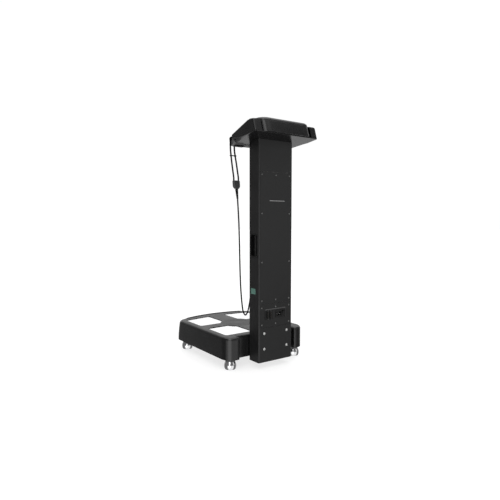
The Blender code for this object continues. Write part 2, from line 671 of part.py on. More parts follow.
def build_chassis():
    """Ladder frame under the platform, with a tail plate that takes the column bolts."""
    front = BASE_FRONT + CHASSIS_FRONT_GAP
    middle = (front + CHASSIS_BACK) / 2
    level = (CHASSIS_BOTTOM, CHASSIS_TOP)
    ladder = box((-CHASSIS_HALF, CHASSIS_HALF), (front, CHASSIS_BACK), level)
    opening = (CHASSIS_BOTTOM - OVERSHOOT, CHASSIS_TOP + OVERSHOOT)
    inner = CHASSIS_HALF - CHASSIS_RAIL
    front_bay = (front + CHASSIS_RAIL, middle - CHASSIS_RAIL / 2)
    back_bay = (middle + CHASSIS_RAIL / 2, CHASSIS_BACK - CHASSIS_RAIL)
    cuts = [box((-inner, inner), bay, opening) for bay in (front_bay, back_bay)]
    for side in (-1, 1):
        hole = circle((side * BOLT_X, BOLT_LOW), BOLT_SHANK_RADIUS + LOOSE, 12)
        cuts.append(prism(hole, "Y", CHASSIS_BACK - CHASSIS_TAIL - OVERSHOOT, CHASSIS_BACK + OVERSHOOT))
    tail_half = CHASSIS_TAIL_WIDTH / 2
    tail = box(
        (-tail_half, tail_half),
        (CHASSIS_BACK - CHASSIS_TAIL, CHASSIS_BACK),
        (SPACER_BOTTOM, CHASSIS_BOTTOM + CHASSIS_HEIGHT / 2),
    )
    solid("base_chassis", CAST_ALLOY, [ladder, tail], cuts)
    width, depth, height = CELL_BOX_SIZE
    box_top = CHASSIS_BOTTOM - TOUCH
    enclosure = box(
        (-width / 2, width / 2), (middle - depth / 2, middle + depth / 2), (box_top - height, box_top),
    )
    solid("load_cell_box", SOCKET_PLASTIC, [enclosure])


def build_bottom_plate():
    cuts = []
    for _, x, y, _ in foot_places():
        hole = circle((x, y), STUD_HOLE_RADIUS, 20)
        cuts.append(prism(hole, "Z", BASE_BOTTOM - OVERSHOOT, BASE_BOTTOM + BOTTOM_PLATE + OVERSHOOT))
    rings = [base_ring(z, BASE_WALL + TOUCH) for z in (BASE_BOTTOM, BASE_BOTTOM + BOTTOM_PLATE)]
    plate = loft(rings)
    solid("base_bottom_plate", COLUMN_PAINT, [plate], cuts)


def build_load_cells_and_feet():
    for name, x, y, inward in foot_places():
        across = (x - CELL_WIDTH / 2, x + CELL_WIDTH / 2)
        outer_end = y - inward * CELL_END
        inner_end = outer_end + inward * CELL_LENGTH
        beam = box(across, sorted((outer_end, inner_end)), (CELL_BOTTOM, CELL_TOP))
        pad_end = inner_end - inward * CELL_PAD_LENGTH
        packing = box(across, sorted((inner_end, pad_end)), (CELL_TOP - CELL_PAD, CELL_TOP + CELL_PAD))
        middle_y = (outer_end + inner_end) / 2
        middle_z = (CELL_BOTTOM + CELL_TOP) / 2
        slot = box(
            (across[0] - OVERSHOOT, across[1] + OVERSHOOT),
            (middle_y - CELL_SLOT_LENGTH / 2, middle_y + CELL_SLOT_LENGTH / 2),
            (middle_z - CELL_SLOT_HEIGHT / 2, middle_z + CELL_SLOT_HEIGHT / 2),
        )
        bore_outline = circle((x, y), STUD_RADIUS + LOOSE, 16)
        bore = prism(bore_outline, "Z", CELL_BOTTOM - OVERSHOOT, CELL_TOP + OVERSHOOT)
        solid(f"load_cell_{name}", CAST_ALLOY, [beam, packing], [slot, bore])
        profile = FOOT_BARREL + (
            (FOOT_SHOULDER, FOOT_BODY_TOP), (STUD_RADIUS, FOOT_BODY_TOP), (STUD_RADIUS, STUD_TOP),
        )
        foot = turned(profile, (x, y, 0), (0, 0, 1), 28)
        solid(f"levelling_foot_{name}", CHROME, [foot], origin=(x, y, 0))


def column_top_at(y):
    """Height of the column's sloped top."""
    return COLUMN_TOP + HEAD_UNDERSLOPE * (y - COLUMN_BACK)


def column_section(inset):
    return rectangle(COLUMN_HALF - inset, COLUMN_FRONT + inset, COLUMN_BACK - inset, COLUMN_CORNER - inset)


def cover_screw_places():
    """Screws of both covers as (x, z): rows of three by the edges, pairs between."""
    places = []
    for z in (SCREW_TOP_ROW, SCREW_ABOVE_SEAM, SCREW_BELOW_SEAM, SCREW_BOTTOM_ROW):
        places += [(-SCREW_X, z), (0.0, z), (SCREW_X, z)]
    for share in SCREW_MIDDLE_SHARES:
        z = SCREW_TOP_ROW + (SCREW_ABOVE_SEAM - SCREW_TOP_ROW) * share
        places += [(-SCREW_X, z), (SCREW_X, z)]
    return places


def screw_holes(low, high, rows=None):
    """Cutters for the cover screws, all of them or those between two heights."""
    holes = []
    for x, z in cover_screw_places():
        if rows is None or rows[0] < z < rows[1]:
            holes.append(prism(circle((x, z), SCREW_HOLE_RADIUS, 8), "Y", low, high))
    return holes


def cup_outline(grow):
    """Hand hole in the column's side, as (y, z)."""
    centre = COLUMN_BACK - CUP_CENTRE_DEPTH
    half = CUP_WIDTH / 2 + grow
    low = CUP_LOW - grow
    high = CUP_HIGH + grow
    radius = CUP_CORNER + grow
    return rounded_outline((
        (centre + half, low, radius), (centre + half, high, radius),
        (centre - half, high, radius), (centre - half, low, radius),
    ))


def build_column_shell():
    shell = tube(column_section(0), column_section(COLUMN_WALL), COLUMN_BOTTOM, column_top_at)
    through_back = (COLUMN_BACK - COLUMN_WALL - OVERSHOOT, COLUMN_BACK + OVERSHOOT)
    through_front = (COLUMN_FRONT - OVERSHOOT, COLUMN_FRONT + COLUMN_WALL + OVERSHOOT)
    cuts = [box((-COVER_HALF, COVER_HALF), through_back, (COVER_BOTTOM, COVER_TOP))]
    for side in (-1, 1):
        faces = sorted((side * (COLUMN_HALF + OVERSHOOT), side * (COLUMN_HALF - COLUMN_WALL - OVERSHOOT)))
        cuts.append(prism(cup_outline(LOOSE), "X", *faces))
        gland = circle((side * GLAND_X, GLAND_Z), GLAND_BODY_RADIUS + TOUCH, 16)
        cuts.append(prism(gland, "Y", *through_front))
        bolt = circle((side * BOLT_X, BOLT_LOW), BOLT_SHANK_RADIUS + LOOSE, 12)
        cuts.append(prism(bolt, "Y", *through_front))
    for _, x, z in column_bolt_places():
        cuts.append(prism(circle((x, z), BOLT_SHANK_RADIUS + LOOSE, 12), "Y", *through_back))
    solid("column_shell", COLUMN_PAINT, [shell], cuts)


def build_column_foot():
    """Box section in the column's foot and the bolts that hold the column to the chassis."""
    depth = (COLUMN_FRONT + COLUMN_WALL + TOUCH, COLUMN_BACK - COLUMN_WALL - TOUCH)
    holes = []
    for name, x, z in column_bolt_places():
        hole = circle((x, z), BOLT_SHANK_RADIUS + LOOSE, 12)
        holes.append(prism(hole, "Y", depth[0] - OVERSHOOT, depth[1] + OVERSHOOT))
        tip = CHASSIS_BACK - CHASSIS_TAIL if z == BOLT_LOW else depth[0]
        face = COLUMN_BACK + TOUCH
        profile = (
            (BOLT_SHANK_RADIUS, face - tip), (BOLT_SHANK_RADIUS, 0.0), (BOLT_HEAD_RADIUS, 0.0),
            (BOLT_HEAD_RADIUS, BOLT_HEAD_CHAMFER - BOLT_HEAD),
            (BOLT_HEAD_RADIUS - BOLT_HEAD_CHAMFER, -BOLT_HEAD),
        )
        bolt = turned(profile, (x, face, z), (0, -1, 0), 16)
        solid(f"column_bolt_{name}", ZINC_STEEL, [bolt])
    block = box((-SPACER_HALF, SPACER_HALF), depth, (SPACER_BOTTOM, SPACER_TOP))
    inner = SPACER_HALF - SPACER_WALL
    hollow = box(
        (-inner, inner), (depth[0] + SPACER_WALL, depth[1] - SPACER_WALL),
        (SPACER_BOTTOM - OVERSHOOT, SPACER_TOP + OVERSHOOT),
    )
    spacer = solid("column_spacer", ZINC_STEEL, [block], holes)
    add_boolean(spacer, hollow, "DIFFERENCE", "hollow")


def build_back_covers():
    inside = COLUMN_BACK - COLUMN_WALL
    frame_face = inside - TOUCH
    frame_depth = (frame_face - FRAME_THICKNESS, frame_face)
    past_frame = (frame_depth[0] - OVERSHOOT, frame_depth[1] + OVERSHOOT)
    past_cover = (inside - OVERSHOOT, COLUMN_BACK + OVERSHOOT)

    frame = box((-COVER_HALF, COVER_HALF), frame_depth, (COVER_BOTTOM - FRAME_LAP, COVER_TOP + FRAME_LAP))
    bay = (FRAME_BAR - COVER_HALF, COVER_HALF - FRAME_BAR)
    cuts = [
        box(bay, past_frame, (SCREW_ABOVE_SEAM + FRAME_LAP, SCREW_TOP_ROW - FRAME_LAP)),
        box(bay, past_frame, (SCREW_BOTTOM_ROW + FRAME_LAP, SCREW_BELOW_SEAM - FRAME_LAP)),
    ]
    cuts += screw_holes(*past_frame)
    solid("cover_frame", ZINC_STEEL, [frame], cuts)

    cover_half = COVER_HALF - COVER_GAP
    upper = (COVER_SEAM + COVER_GAP / 2, COVER_TOP - COVER_GAP)
    lower = (COVER_BOTTOM + COVER_GAP, COVER_SEAM - COVER_GAP / 2)
    plate = box((-cover_half, cover_half), (inside, COLUMN_BACK), upper)
    solid("upper_back_cover", COLUMN_PAINT, [plate], screw_holes(*past_cover, upper))

    panel = box((-cover_half, cover_half), (inside, COLUMN_BACK), lower)
    cuts = screw_holes(*past_cover, lower)
    for x, size, lap in ((INLET_X, INLET_SIZE, INLET_BODY_LAP), (PORTS_X, PORTS_SIZE, PORTS_BODY_LAP)):
        wide = size[0] / 2 - lap + TOUCH
        tall = size[1] / 2 - lap + TOUCH
        cuts.append(box((x - wide, x + wide), past_cover, (SOCKET_Z - tall, SOCKET_Z + tall)))
    solid("socket_panel", COLUMN_PAINT, [panel], cuts)


def build_sockets():
    """Power inlet with its rocker switch, and the pair of data ports."""
    face = COLUMN_BACK + TOUCH
    wide, tall = INLET_SIZE
    flat = rectangle(wide / 2, SOCKET_Z - tall / 2, SOCKET_Z + tall / 2, INLET_CORNER)
    bezel_outline = [(INLET_X + x, z) for x, z in flat]
    front = face + INLET_BEZEL
    bezel = prism(bezel_outline, "Y", face, front)
    body_wide = wide / 2 - INLET_BODY_LAP
    body_tall = tall / 2 - INLET_BODY_LAP
    body = box(
        (INLET_X - body_wide, INLET_X + body_wide), (front - INLET_DEPTH, face + INLET_BEZEL / 2),
        (SOCKET_Z - body_tall, SOCKET_Z + body_tall),
    )
    mouth_x = INLET_X + INLET_MOUTH_OFFSET
    mouth_wide = INLET_MOUTH[0] / 2
    mouth_tall = INLET_MOUTH[1] / 2
    mouth = box(
        (mouth_x - mouth_wide, mouth_x + mouth_wide), (front - INLET_MOUTH_DEPTH, front + OVERSHOOT),
        (SOCKET_Z - mouth_tall, SOCKET_Z + mouth_tall),
    )
    rocker_x = INLET_X + ROCKER_OFFSET
    well_half = ROCKER_SIZE[0] / 2 + LOOSE
    well_tall = ROCKER_SIZE[1] / 2 + LOOSE
    well = box(
        (rocker_x - well_half, rocker_x + well_half), (front - ROCKER_WELL_DEPTH, front + OVERSHOOT),
        (SOCKET_Z - well_tall, SOCKET_Z + well_tall),
    )
    solid("power_inlet", SOCKET_PLASTIC, [bezel, body], [mouth, well])

    pivot = (rocker_x, front - ROCKER_PIVOT_DEPTH, SOCKET_Z)
    swing = ROCKER_SIZE[1] / 2
    widest = ROCKER_PIVOT_DEPTH - ROCKER_TIP_DEPTH
    tip = math.sqrt(swing ** 2 - widest ** 2)
    root = ROCKER_ROOT_SHARE * tip
    crown = ROCKER_PIVOT_DEPTH + ROCKER_PROUD
    rim = ROCKER_CROWN_SHARE * swing
    dish = crown - rim * math.tan(ROCKER_HALF_ANGLE)
    outline = (
        (-tip, widest), (-root, -ROCKER_ROOT_DEPTH), (root, -ROCKER_ROOT_DEPTH), (tip, widest),
        (rim, crown), (0.0, dish), (-rim, crown),
    )
    lean = -ROCKER_HALF_ANGLE
    turned_outline = []
    for up, out in outline:
        y = pivot[1] + out * math.cos(lean) - up * math.sin(lean)
        turned_outline.append((y, pivot[2] + up * math.cos(lean) + out * math.sin(lean)))
    half = ROCKER_SIZE[0] / 2
    rocker = prism(turned_outline, "X", rocker_x - half, rocker_x + half)
    solid("power_rocker", SOCKET_PLASTIC, [rocker], origin=pivot)

    wide, tall = PORTS_SIZE
    plate_front = face + PORTS_BEZEL
    plate = box(
        (PORTS_X - wide / 2, PORTS_X + wide / 2), (face, plate_front),
        (SOCKET_Z - tall / 2, SOCKET_Z + tall / 2),
    )
    block_wide = wide / 2 - PORTS_BODY_LAP
    block_tall = tall / 2 - PORTS_BODY_LAP
    block = box(
        (PORTS_X - block_wide, PORTS_X + block_wide), (plate_front - PORTS_DEPTH, face + PORTS_BEZEL / 2),
        (SOCKET_Z - block_tall, SOCKET_Z + block_tall),
    )
    shells = []
    for side in (-1, 1):
        x = PORTS_X + side * PORT_PITCH / 2
        half_wide = PORT_SHELL[0] / 2
        long_side = PORT_SHELL[1] / 2
        short_side = long_side - PORT_TAPER
        outline = rounded_outline((
            (x + half_wide, SOCKET_Z - short_side, PORT_CORNER),
            (x + half_wide, SOCKET_Z + short_side, PORT_CORNER),
            (x - half_wide, SOCKET_Z + long_side, PORT_CORNER),
            (x - half_wide, SOCKET_Z - long_side, PORT_CORNER),
        ), 2)
        shells.append(prism(outline, "Y", face + PORTS_BEZEL / 2, face + PORT_REACH))
    solid("data_ports", SOCKET_PLASTIC, [plate, block] + shells)


def build_hand_cups():
    for hand, side in (("left", -1), ("right", 1)):
        wall_face = COLUMN_HALF + TOUCH
        rim = wall_face + CUP_FLANGE_THICKNESS
        flange = prism(cup_outline(CUP_FLANGE), "X", *sorted((side * wall_face, side * rim)))
        floor = COLUMN_HALF - CUP_DEPTH
        inside_flange = wall_face + CUP_FLANGE_THICKNESS / 2
        cup = prism(cup_outline(0), "X", *sorted((side * floor, side * inside_flange)))
        hollow_span = sorted((side * (floor + CUP_WALL), side * (rim + OVERSHOOT)))
        hollow = prism(cup_outline(-CUP_WALL), "X", *hollow_span)
        solid(f"hand_cup_{hand}", SOCKET_PLASTIC, [flange, cup], [hollow])


def build_column_inside():
    """Power supply and measuring board on the column's front wall, and the cord glands."""
    seat = COLUMN_FRONT + COLUMN_WALL + TOUCH
    wide, deep, tall = SUPPLY_SIZE
    supply = box((-wide / 2, wide / 2), (seat, seat + deep), (SUPPLY_Z, SUPPLY_Z + tall))
    solid("power_supply", SOCKET_PLASTIC, [supply])
    wide, thick, tall = BOARD_SIZE
    board_face = seat + BOARD_POST
    board = box((-wide / 2, wide / 2), (board_face, board_face + thick), (BOARD_Z, BOARD_Z + tall))
    posts = []
    for side in (-1, 1):
        for z in (BOARD_Z + BOARD_POST_INSET, BOARD_Z + tall - BOARD_POST_INSET):
            x = side * (wide / 2 - BOARD_POST_INSET)
            posts.append(prism(circle((x, z), BOARD_POST_RADIUS, 12), "Y", seat, board_face + thick / 2))
    solid("measuring_board", CIRCUIT, [board] + posts)
    for hand, side in (("left", -1), ("right", 1)):
        inside = COLUMN_WALL + TOUCH
        outside = -TOUCH
        flange = outside - GLAND_FLANGE
        profile = (
            (GLAND_NUT_RADIUS, inside + GLAND_NUT), (GLAND_NUT_RADIUS, inside), (GLAND_BODY_RADIUS, inside),
            (GLAND_BODY_RADIUS, outside), (GLAND_FLANGE_RADIUS, outside), (GLAND_FLANGE_RADIUS, flange),
            (GLAND_NECK_RADIUS, flange - GLAND_SHOULDER), (GLAND_TIP_RADIUS, -GLAND_REACH),
        )
        gland = turned(profile, (side * GLAND_X, COLUMN_FRONT, GLAND_Z), (0, 1, 0), 16)
        solid(f"cord_gland_{hand}", SOCKET_PLASTIC, [gland])


def underside_at(y):
    """Height of the head's sloped underside."""
    return column_top_at(y) + TOUCH


def bevel_share(y):
    """0 where the underside is full width, growing to 1 at the head's front."""
    return min(max((BEVEL_Y - y) / (BEVEL_Y - HEAD_FRONT), 0.0), 1.0)


def back_lean(z):
    """How far the head's back stands forward at a height."""
    low = underside_at(HEAD_BACK) + HEAD_WALL + TOUCH
    return HEAD_LEAN * max(z - low, 0.0) / (RIDGE_Z - low)


def leaned(ring):
    """A section of the head, leaning forward the more the nearer it is to the back."""
    points = []
    for x, y, z in ring:
        share = max(y - SLOPE_Y, 0.0) / (HEAD_BACK - SLOPE_Y)
        points.append((x, y - back_lean(z) * share, z))
    return points


def head_half_at(y):
    """Half of the head's width, drawn in where the back corners are rounded."""
    into = max(y - HEAD_BACK + HEAD_BACK_ROUND, 0.0)
    return HEAD_HALF - HEAD_BACK_ROUND + math.sqrt(HEAD_BACK_ROUND ** 2 - into ** 2)


def rim_at(y):
    return underside_at(y) + BEVEL_MIN_RISE + BEVEL_RISE * bevel_share(y) ** 1.5


def bevel_edge_at(y):
    return head_half_at(y) - BEVEL_MIN_INSET - BEVEL_INSET * bevel_share(y)


def head_top_at(y):
    """Height of the head's top: back round, ridge, then the display slope."""
    if y > HEAD_BACK - HEAD_BACK_STEP:
        share = (HEAD_BACK - y) / HEAD_BACK_STEP
        return RIDGE_Z - HEAD_BACK_DROP + share * HEAD_BACK_DROP / 2
    if y > RIDGE_Y:
        share = (HEAD_BACK - HEAD_BACK_STEP - y) / (HEAD_RIDGE_INSET - HEAD_BACK_STEP)
        return RIDGE_Z - HEAD_BACK_DROP / 2 * (1 - share)
    if y > SLOPE_Y:
        share = (RIDGE_Y - y) / (RIDGE_Y - SLOPE_Y)
        return RIDGE_Z - share * HEAD_SLOPE_DROP
    return SLOPE_Z - (SLOPE_Y - y) * math.tan(DISPLAY_PITCH)


def head_stations():
    """Depths at which the head's section changes."""
    bevel = [BEVEL_Y + (HEAD_FRONT - BEVEL_Y) * share for share in BEVEL_STATIONS]
    corner = [HEAD_BACK - HEAD_BACK_ROUND * share for share in BACK_STATIONS]
    return sorted(corner + [HEAD_BACK - HEAD_BACK_STEP, RIDGE_Y, SLOPE_Y] + bevel, reverse=True)


def underside_points(y, lift):
    """Right half of the underside section, raised by a lift: rim, then bevel edge."""
    return [(head_half_at(y), rim_at(y) + lift), (bevel_edge_at(y), underside_at(y) + lift)]


def build_head_lower():
    rings = []
    for y in head_stations():
        under = underside_points(y, 0.0)
        over = underside_points(y, HEAD_WALL)
        outline = under + [(-x, z) for x, z in reversed(under)] + [(-x, z) for x, z in over] + over[::-1]
        rings.append(place(outline, "Y", y))
    cuts = [slope_pin(x, y, HEAD_BOLT_RADIUS + LOOSE) for _, x, y in head_bolt_places()]
    cuts.append(slope_pin(0.0, COLUMN_MIDDLE, CABLE_HOLE_RADIUS))
    solid("head_lower_shell", CONSOLE_PLASTIC, [loft(rings)], cuts)


def head_section(y, inset, lift):
    """Section of the upper shell: underside seam, end faces and rounded top."""
    half = head_half_at(y) - inset
    top = head_top_at(y) - inset
    seam = [(x - inset, z) for x, z in underside_points(y, lift)]
    corner = arc((half - HEAD_TOP_ROUND, top - HEAD_TOP_ROUND), HEAD_TOP_ROUND, 0, math.pi / 2, 3)
    right = [seam[1], seam[0]] + corner
    return mirrored(right)


def slope_frame():
    """Local frame on the display slope: X across, Y up the slope, Z out of it."""
    middle_y = (SLOPE_Y + HEAD_FRONT) / 2
    centre = Vector((0.0, middle_y, head_top_at(middle_y)))
    return Matrix.Translation(centre) @ Matrix.Rotation(DISPLAY_PITCH, 4, "X")


def slope_box(width, length, low, high):
    body = box((-width / 2, width / 2), (-length / 2, length / 2), (low, high))
    bmesh.ops.transform(body, matrix=slope_frame(), verts=body.verts)
    return body


def build_head_upper():
    stations = head_stations()
    outer = [leaned(place(head_section(y, 0.0, HEAD_WALL + LOOSE), "Y", y)) for y in stations]
    ends = (HEAD_BACK - HEAD_WALL, HEAD_FRONT + HEAD_WALL)
    inside = [ends[0]] + [y for y in stations if ends[1] < y < ends[0]] + [ends[1]]
    hollow = [leaned(place(head_section(y, HEAD_WALL, -HEAD_WALL), "Y", y)) for y in inside]
    glass_floor = -GLASS_THICKNESS - TOUCH
    pocket = slope_box(GLASS_SIZE[0] + 2 * TOUCH, GLASS_SIZE[1] + 2 * TOUCH, glass_floor, OVERSHOOT)
    window_size = [size - 2 * WINDOW_MARGIN for size in GLASS_SIZE]
    window = slope_box(*window_size, -2 * HEAD_WALL, OVERSHOOT)
    rear_half = REAR_HALF + TOUCH
    rear_bay = box(
        (-rear_half, rear_half), (HEAD_BACK - REAR_LAP - TOUCH, HEAD_BACK + OVERSHOOT),
        (COLUMN_TOP - OVERSHOOT, RIDGE_Z + OVERSHOOT),
    )
    shell = solid("head_upper_shell", CONSOLE_PLASTIC, [loft(outer)], [loft(hollow)])
    add_boolean(shell, pocket, "DIFFERENCE", "pocket")
    add_boolean(shell, window, "DIFFERENCE", "window")
    add_boolean(shell, rear_bay, "DIFFERENCE", "rear_bay")


def rear_ring(z, inset):
    """The rear cover's section at a height, drawn in by an inset."""
    front = HEAD_BACK - REAR_LAP
    back = HEAD_BACK + REAR_BULGE - back_lean(z) - inset
    half = REAR_HALF - inset
    radius = REAR_CORNER - inset
    right = ((half, front, 0.0), (half, back, radius))
    left = ((-half, back, radius), (-half, front, 0.0))
    return place(rounded_outline(right + left, 5), "Z", z)


def build_head_rear():
    low = underside_at(HEAD_BACK) + HEAD_WALL + TOUCH
    high = RIDGE_Z + REAR_RISE
    rings = [rear_ring(low, 0.0)]
    for step in range(4):
        angle = math.pi / 2 * step / 3
        level = high - REAR_EDGE * (1 - math.sin(angle))
        rings.append(rear_ring(level, REAR_EDGE * (1 - math.cos(angle))))
    front = HEAD_BACK - REAR_LAP - OVERSHOOT
    half = REAR_HALF - REAR_END_WALL
    back = HEAD_BACK + REAR_BULGE - 2 * HEAD_WALL
    floor = low + HEAD_WALL
    ceiling = high - 2 * HEAD_WALL
    outline = [(front, floor), (back - back_lean(floor), floor)]
    outline += [(back - back_lean(ceiling), ceiling), (front, ceiling)]
    hollow = prism(outline, "X", -half, half)
    solid("head_rear_cover", CONSOLE_PLASTIC, [loft(rings)], [hollow])


def build_display():
    glass = slope_box(*GLASS_SIZE, -GLASS_THICKNESS, 0.0)
    solid("display_glass", GLASS, [glass])
    wall_back = -HEAD_WALL * math.cos(DISPLAY_PITCH) - TOUCH
    panel_back = wall_back - PANEL_THICKNESS
    panel_size = [size - 2 * WINDOW_MARGIN + 2 * PANEL_MARGIN for size in GLASS_SIZE]
    solid("display_panel", SOCKET_PLASTIC, [slope_box(*panel_size, panel_back, wall_back)])
    post_top = panel_back - TOUCH
    board_top = post_top - MAIN_BOARD_POST
    board = slope_box(*MAIN_BOARD_SIZE, board_top - MAIN_BOARD_THICKNESS, board_top)
    posts = []
    for side_x in (-1, 1):
        for side_y in (-1, 1):
            x = side_x * (MAIN_BOARD_SIZE[0] / 2 - BOARD_POST_INSET)
            y = side_y * (MAIN_BOARD_SIZE[1] / 2 - BOARD_POST_INSET)
            post_foot = board_top - MAIN_BOARD_THICKNESS / 2
            post = prism(circle((x, y), BOARD_POST_RADIUS, 10), "Z", post_foot, post_top)
            bmesh.ops.transform(post, matrix=slope_frame(), verts=post.verts)
            posts.append(post)
    solid("main_board", CIRCUIT, [board] + posts)


def head_bolt_places():
    """Name, x and y of the bolts that hold the head down."""
    return [("left", -HEAD_BOLT_X, COLUMN_MIDDLE), ("right", HEAD_BOLT_X, COLUMN_MIDDLE)]


def slope_pin(x, y, radius):
    """A pin square to the head's underside, long enough to cut through shell and plate."""
    normal = Vector((0, -HEAD_UNDERSLOPE, 1)).normalized()
    reach = HEAD_WALL + TOP_PLATE + OVERSHOOT
    return turned(((radius, -reach), (radius, reach)), (x, y, column_top_at(y)), normal, 16)


def build_neck():
    """Plate closing the column's top, and the bolts that hold the head down on it."""
    outline = column_section(COLUMN_WALL + TOUCH)
    rings = []
    for drop in (TOP_PLATE, 0.0):
        rings.append([(x, y, column_top_at(y) - drop) for x, y in outline])
    cuts = [slope_pin(x, y, HEAD_BOLT_RADIUS + LOOSE) for _, x, y in head_bolt_places()]
    cuts.append(slope_pin(0.0, COLUMN_MIDDLE, CABLE_HOLE_RADIUS))
    solid("column_top_plate", ZINC_STEEL, [loft(rings)], cuts)
    normal = Vector((0, -HEAD_UNDERSLOPE, 1)).normalized()
    scale = normal.z
    floor = (HEAD_WALL + TOUCH) * scale + TOUCH
    ceiling = -TOP_PLATE * scale - TOUCH
    for name, x, y in head_bolt_places():
        profile = (
            (HEAD_BOLT_HEAD_RADIUS, ceiling - HEAD_BOLT_NUT), (HEAD_BOLT_HEAD_RADIUS, ceiling),
            (HEAD_BOLT_RADIUS, ceiling), (HEAD_BOLT_RADIUS, floor),
            (HEAD_BOLT_HEAD_RADIUS, floor), (HEAD_BOLT_HEAD_RADIUS, floor + HEAD_BOLT_HEAD),
        )
        bolt = turned(profile, (x, y, column_top_at(y)), normal, 12)
        solid(f"head_bolt_{name}", ZINC_STEEL, [bolt])


def build_cradles():
    """A pair of saddles on a back rail that holds each hand grip on the head's front."""
    wall_face = HEAD_FRONT - TOUCH
    outer_radius = wall_face - GRIP_Y
    centre = (GRIP_Y, GRIP_Z)
    top = GRIP_Z + CRADLE_RISE
    saddle = [(wall_face, top)]
    saddle += arc(centre, outer_radius, 0, CRADLE_LIP, 12)
    saddle += arc(centre, CRADLE_RADIUS, CRADLE_LIP, 0, 12)
    saddle += [(GRIP_Y + CRADLE_RADIUS, top)]
    for hand, side in (("left", -1), ("right", 1)):
        inner = prism(saddle, "X", *sorted(side * x for x in CRADLE_INNER))
        outer = prism(saddle, "X", *sorted(side * x for x in CRADLE_OUTER))
        rail = box(
            sorted((side * (CRADLE_INNER[1] - CRADLE_WALL), side * (CRADLE_OUTER[0] + CRADLE_WALL))),
            (GRIP_Y + CRADLE_RADIUS, wall_face), (GRIP_Z - CRADLE_RAIL_DROP, top),
        )
        solid(f"grip_cradle_{hand}", GRIP_PLASTIC, [inner, outer, rail])


def build_grips():
    for hand, side in (("left", -1), ("right", 1)):
        seat = GRIP_RADIUS - SLEEVE_WALL
        profile = (
            (GRIP_RADIUS - GRIP_CHAMFER, GRIP_INNER), (GRIP_RADIUS, GRIP_INNER + GRIP_CHAMFER),
            (GRIP_RADIUS, SLEEVE_INNER), (seat, SLEEVE_INNER),
            (seat, SLEEVE_OUTER), (GRIP_RADIUS, SLEEVE_OUTER),
            (GRIP_RADIUS, GRIP_OUTER - GRIP_CHAMFER), (GRIP_RADIUS - GRIP_CHAMFER, GRIP_OUTER),
        )
        axis = (side, 0, 0)
        centre = (0, GRIP_Y, GRIP_Z)
        core = turned(profile, centre, axis, 32)
        half = TERMINAL_WIDTH / 2
        middle = side * (TERMINAL_X[0] + TERMINAL_X[1]) / 2
        flat = rectangle(TERMINAL_LENGTH / 2, GRIP_Y - half, GRIP_Y + half, TERMINAL_CORNER)
        terminal_outline = [(middle + x, y) for x, y in flat]
        terminal = prism(terminal_outline, "Z", GRIP_Z - TERMINAL_DROP, GRIP_Z - GRIP_RADIUS / 2)
        oval = thumb_outline(side, TOUCH)
        pocket = prism(oval, "Z", GRIP_Z + THUMB_SEAT, GRIP_Z + GRIP_RADIUS + OVERSHOOT)
        solid(f"grip_core_{hand}", GRIP_PLASTIC, [core, terminal], [pocket])
        low = SLEEVE_INNER + TOUCH
        high = SLEEVE_OUTER - TOUCH
        sleeve = collar(seat + TOUCH, GRIP_RADIUS, low, high, centre, axis, 32)
        solid(f"palm_electrode_{hand}", POLISHED_STEEL, [sleeve])
        base = GRIP_Z + THUMB_SEAT + TOUCH
        button = prism(thumb_outline(side, 0.0), "Z", base, base + THUMB_HEIGHT)
        solid(f"thumb_electrode_{hand}", POLISHED_STEEL, [button])


def thumb_outline(side, grow):
    long, wide = THUMB_SIZE
    half = wide / 2 + grow
    offset = long / 2 - wide / 2
    points = arc((THUMB_X + offset, GRIP_Y), half, -math.pi / 2, math.pi / 2, 8)
    points += arc((THUMB_X - offset, GRIP_Y), half, math.pi / 2, math.pi * 1.5, 8)
    return [(side * x, y) for x, y in points]


def smooth_route(points, spacing, straight):
    """Points on a smooth curve through the route's own points, with a straight run at each end."""
    route = [Vector(point) for point in points]
    padded = [2 * route[0] - route[1]] + route + [2 * route[-1] - route[-2]]
    fine = []
    for index in range(len(route) - 1):
        a, b, c, d = padded[index:index + 4]
        for step in range(20):
            t = step / 20
            fine.append(0.5 * (
                2 * b + (c - a) * t + (2 * a - 5 * b + 4 * c - d) * t ** 2 + (3 * b - a - 3 * c + d) * t ** 3
            ))
    fine.append(route[-1])
    lengths = [0.0]
    for before, after in zip(fine, fine[1:]):
        lengths.append(lengths[-1] + (after - before).length)
    middle = lengths[-1] - 2 * straight
    count = max(round(middle / spacing), 1)
    targets = [0.0] + [straight + middle * step / count for step in range(count + 1)] + [lengths[-1]]
    chosen = []
    index = 0
    for target in targets:
        while index < len(fine) - 2 and lengths[index + 1] < target:
            index += 1
        share = (target - lengths[index]) / (lengths[index + 1] - lengths[index])
        chosen.append(fine[index].lerp(fine[index + 1], share))
    return chosen


def cord_tube(name, route, diameter, spacing):
    curve = bpy.data.curves.new(name, "CURVE")
    curve.dimensions = "3D"
    curve.bevel_depth = diameter / 2
    curve.bevel_resolution = 2
    curve.use_fill_caps = True
    points = smooth_route(route, spacing, diameter / 2)
    spline = curve.splines.new("POLY")
    spline.points.add(len(points) - 1)
    for target, point in zip(spline.points, points):
        target.co = (*point, 1.0)
    made = bpy.data.objects.new(name, curve)
    bpy.context.scene.collection.objects.link(made)
    curve.materials.append(RUBBER)


def route_at(route, z):
    """Where a hanging lead passes a height."""
    for before, after in zip(route, route[1:]):
        if before[2] >= z >= after[2]:
            share = (before[2] - z) / (before[2] - after[2])
            return Vector(before).lerp(Vector(after), share)
    return Vector(route[-1])


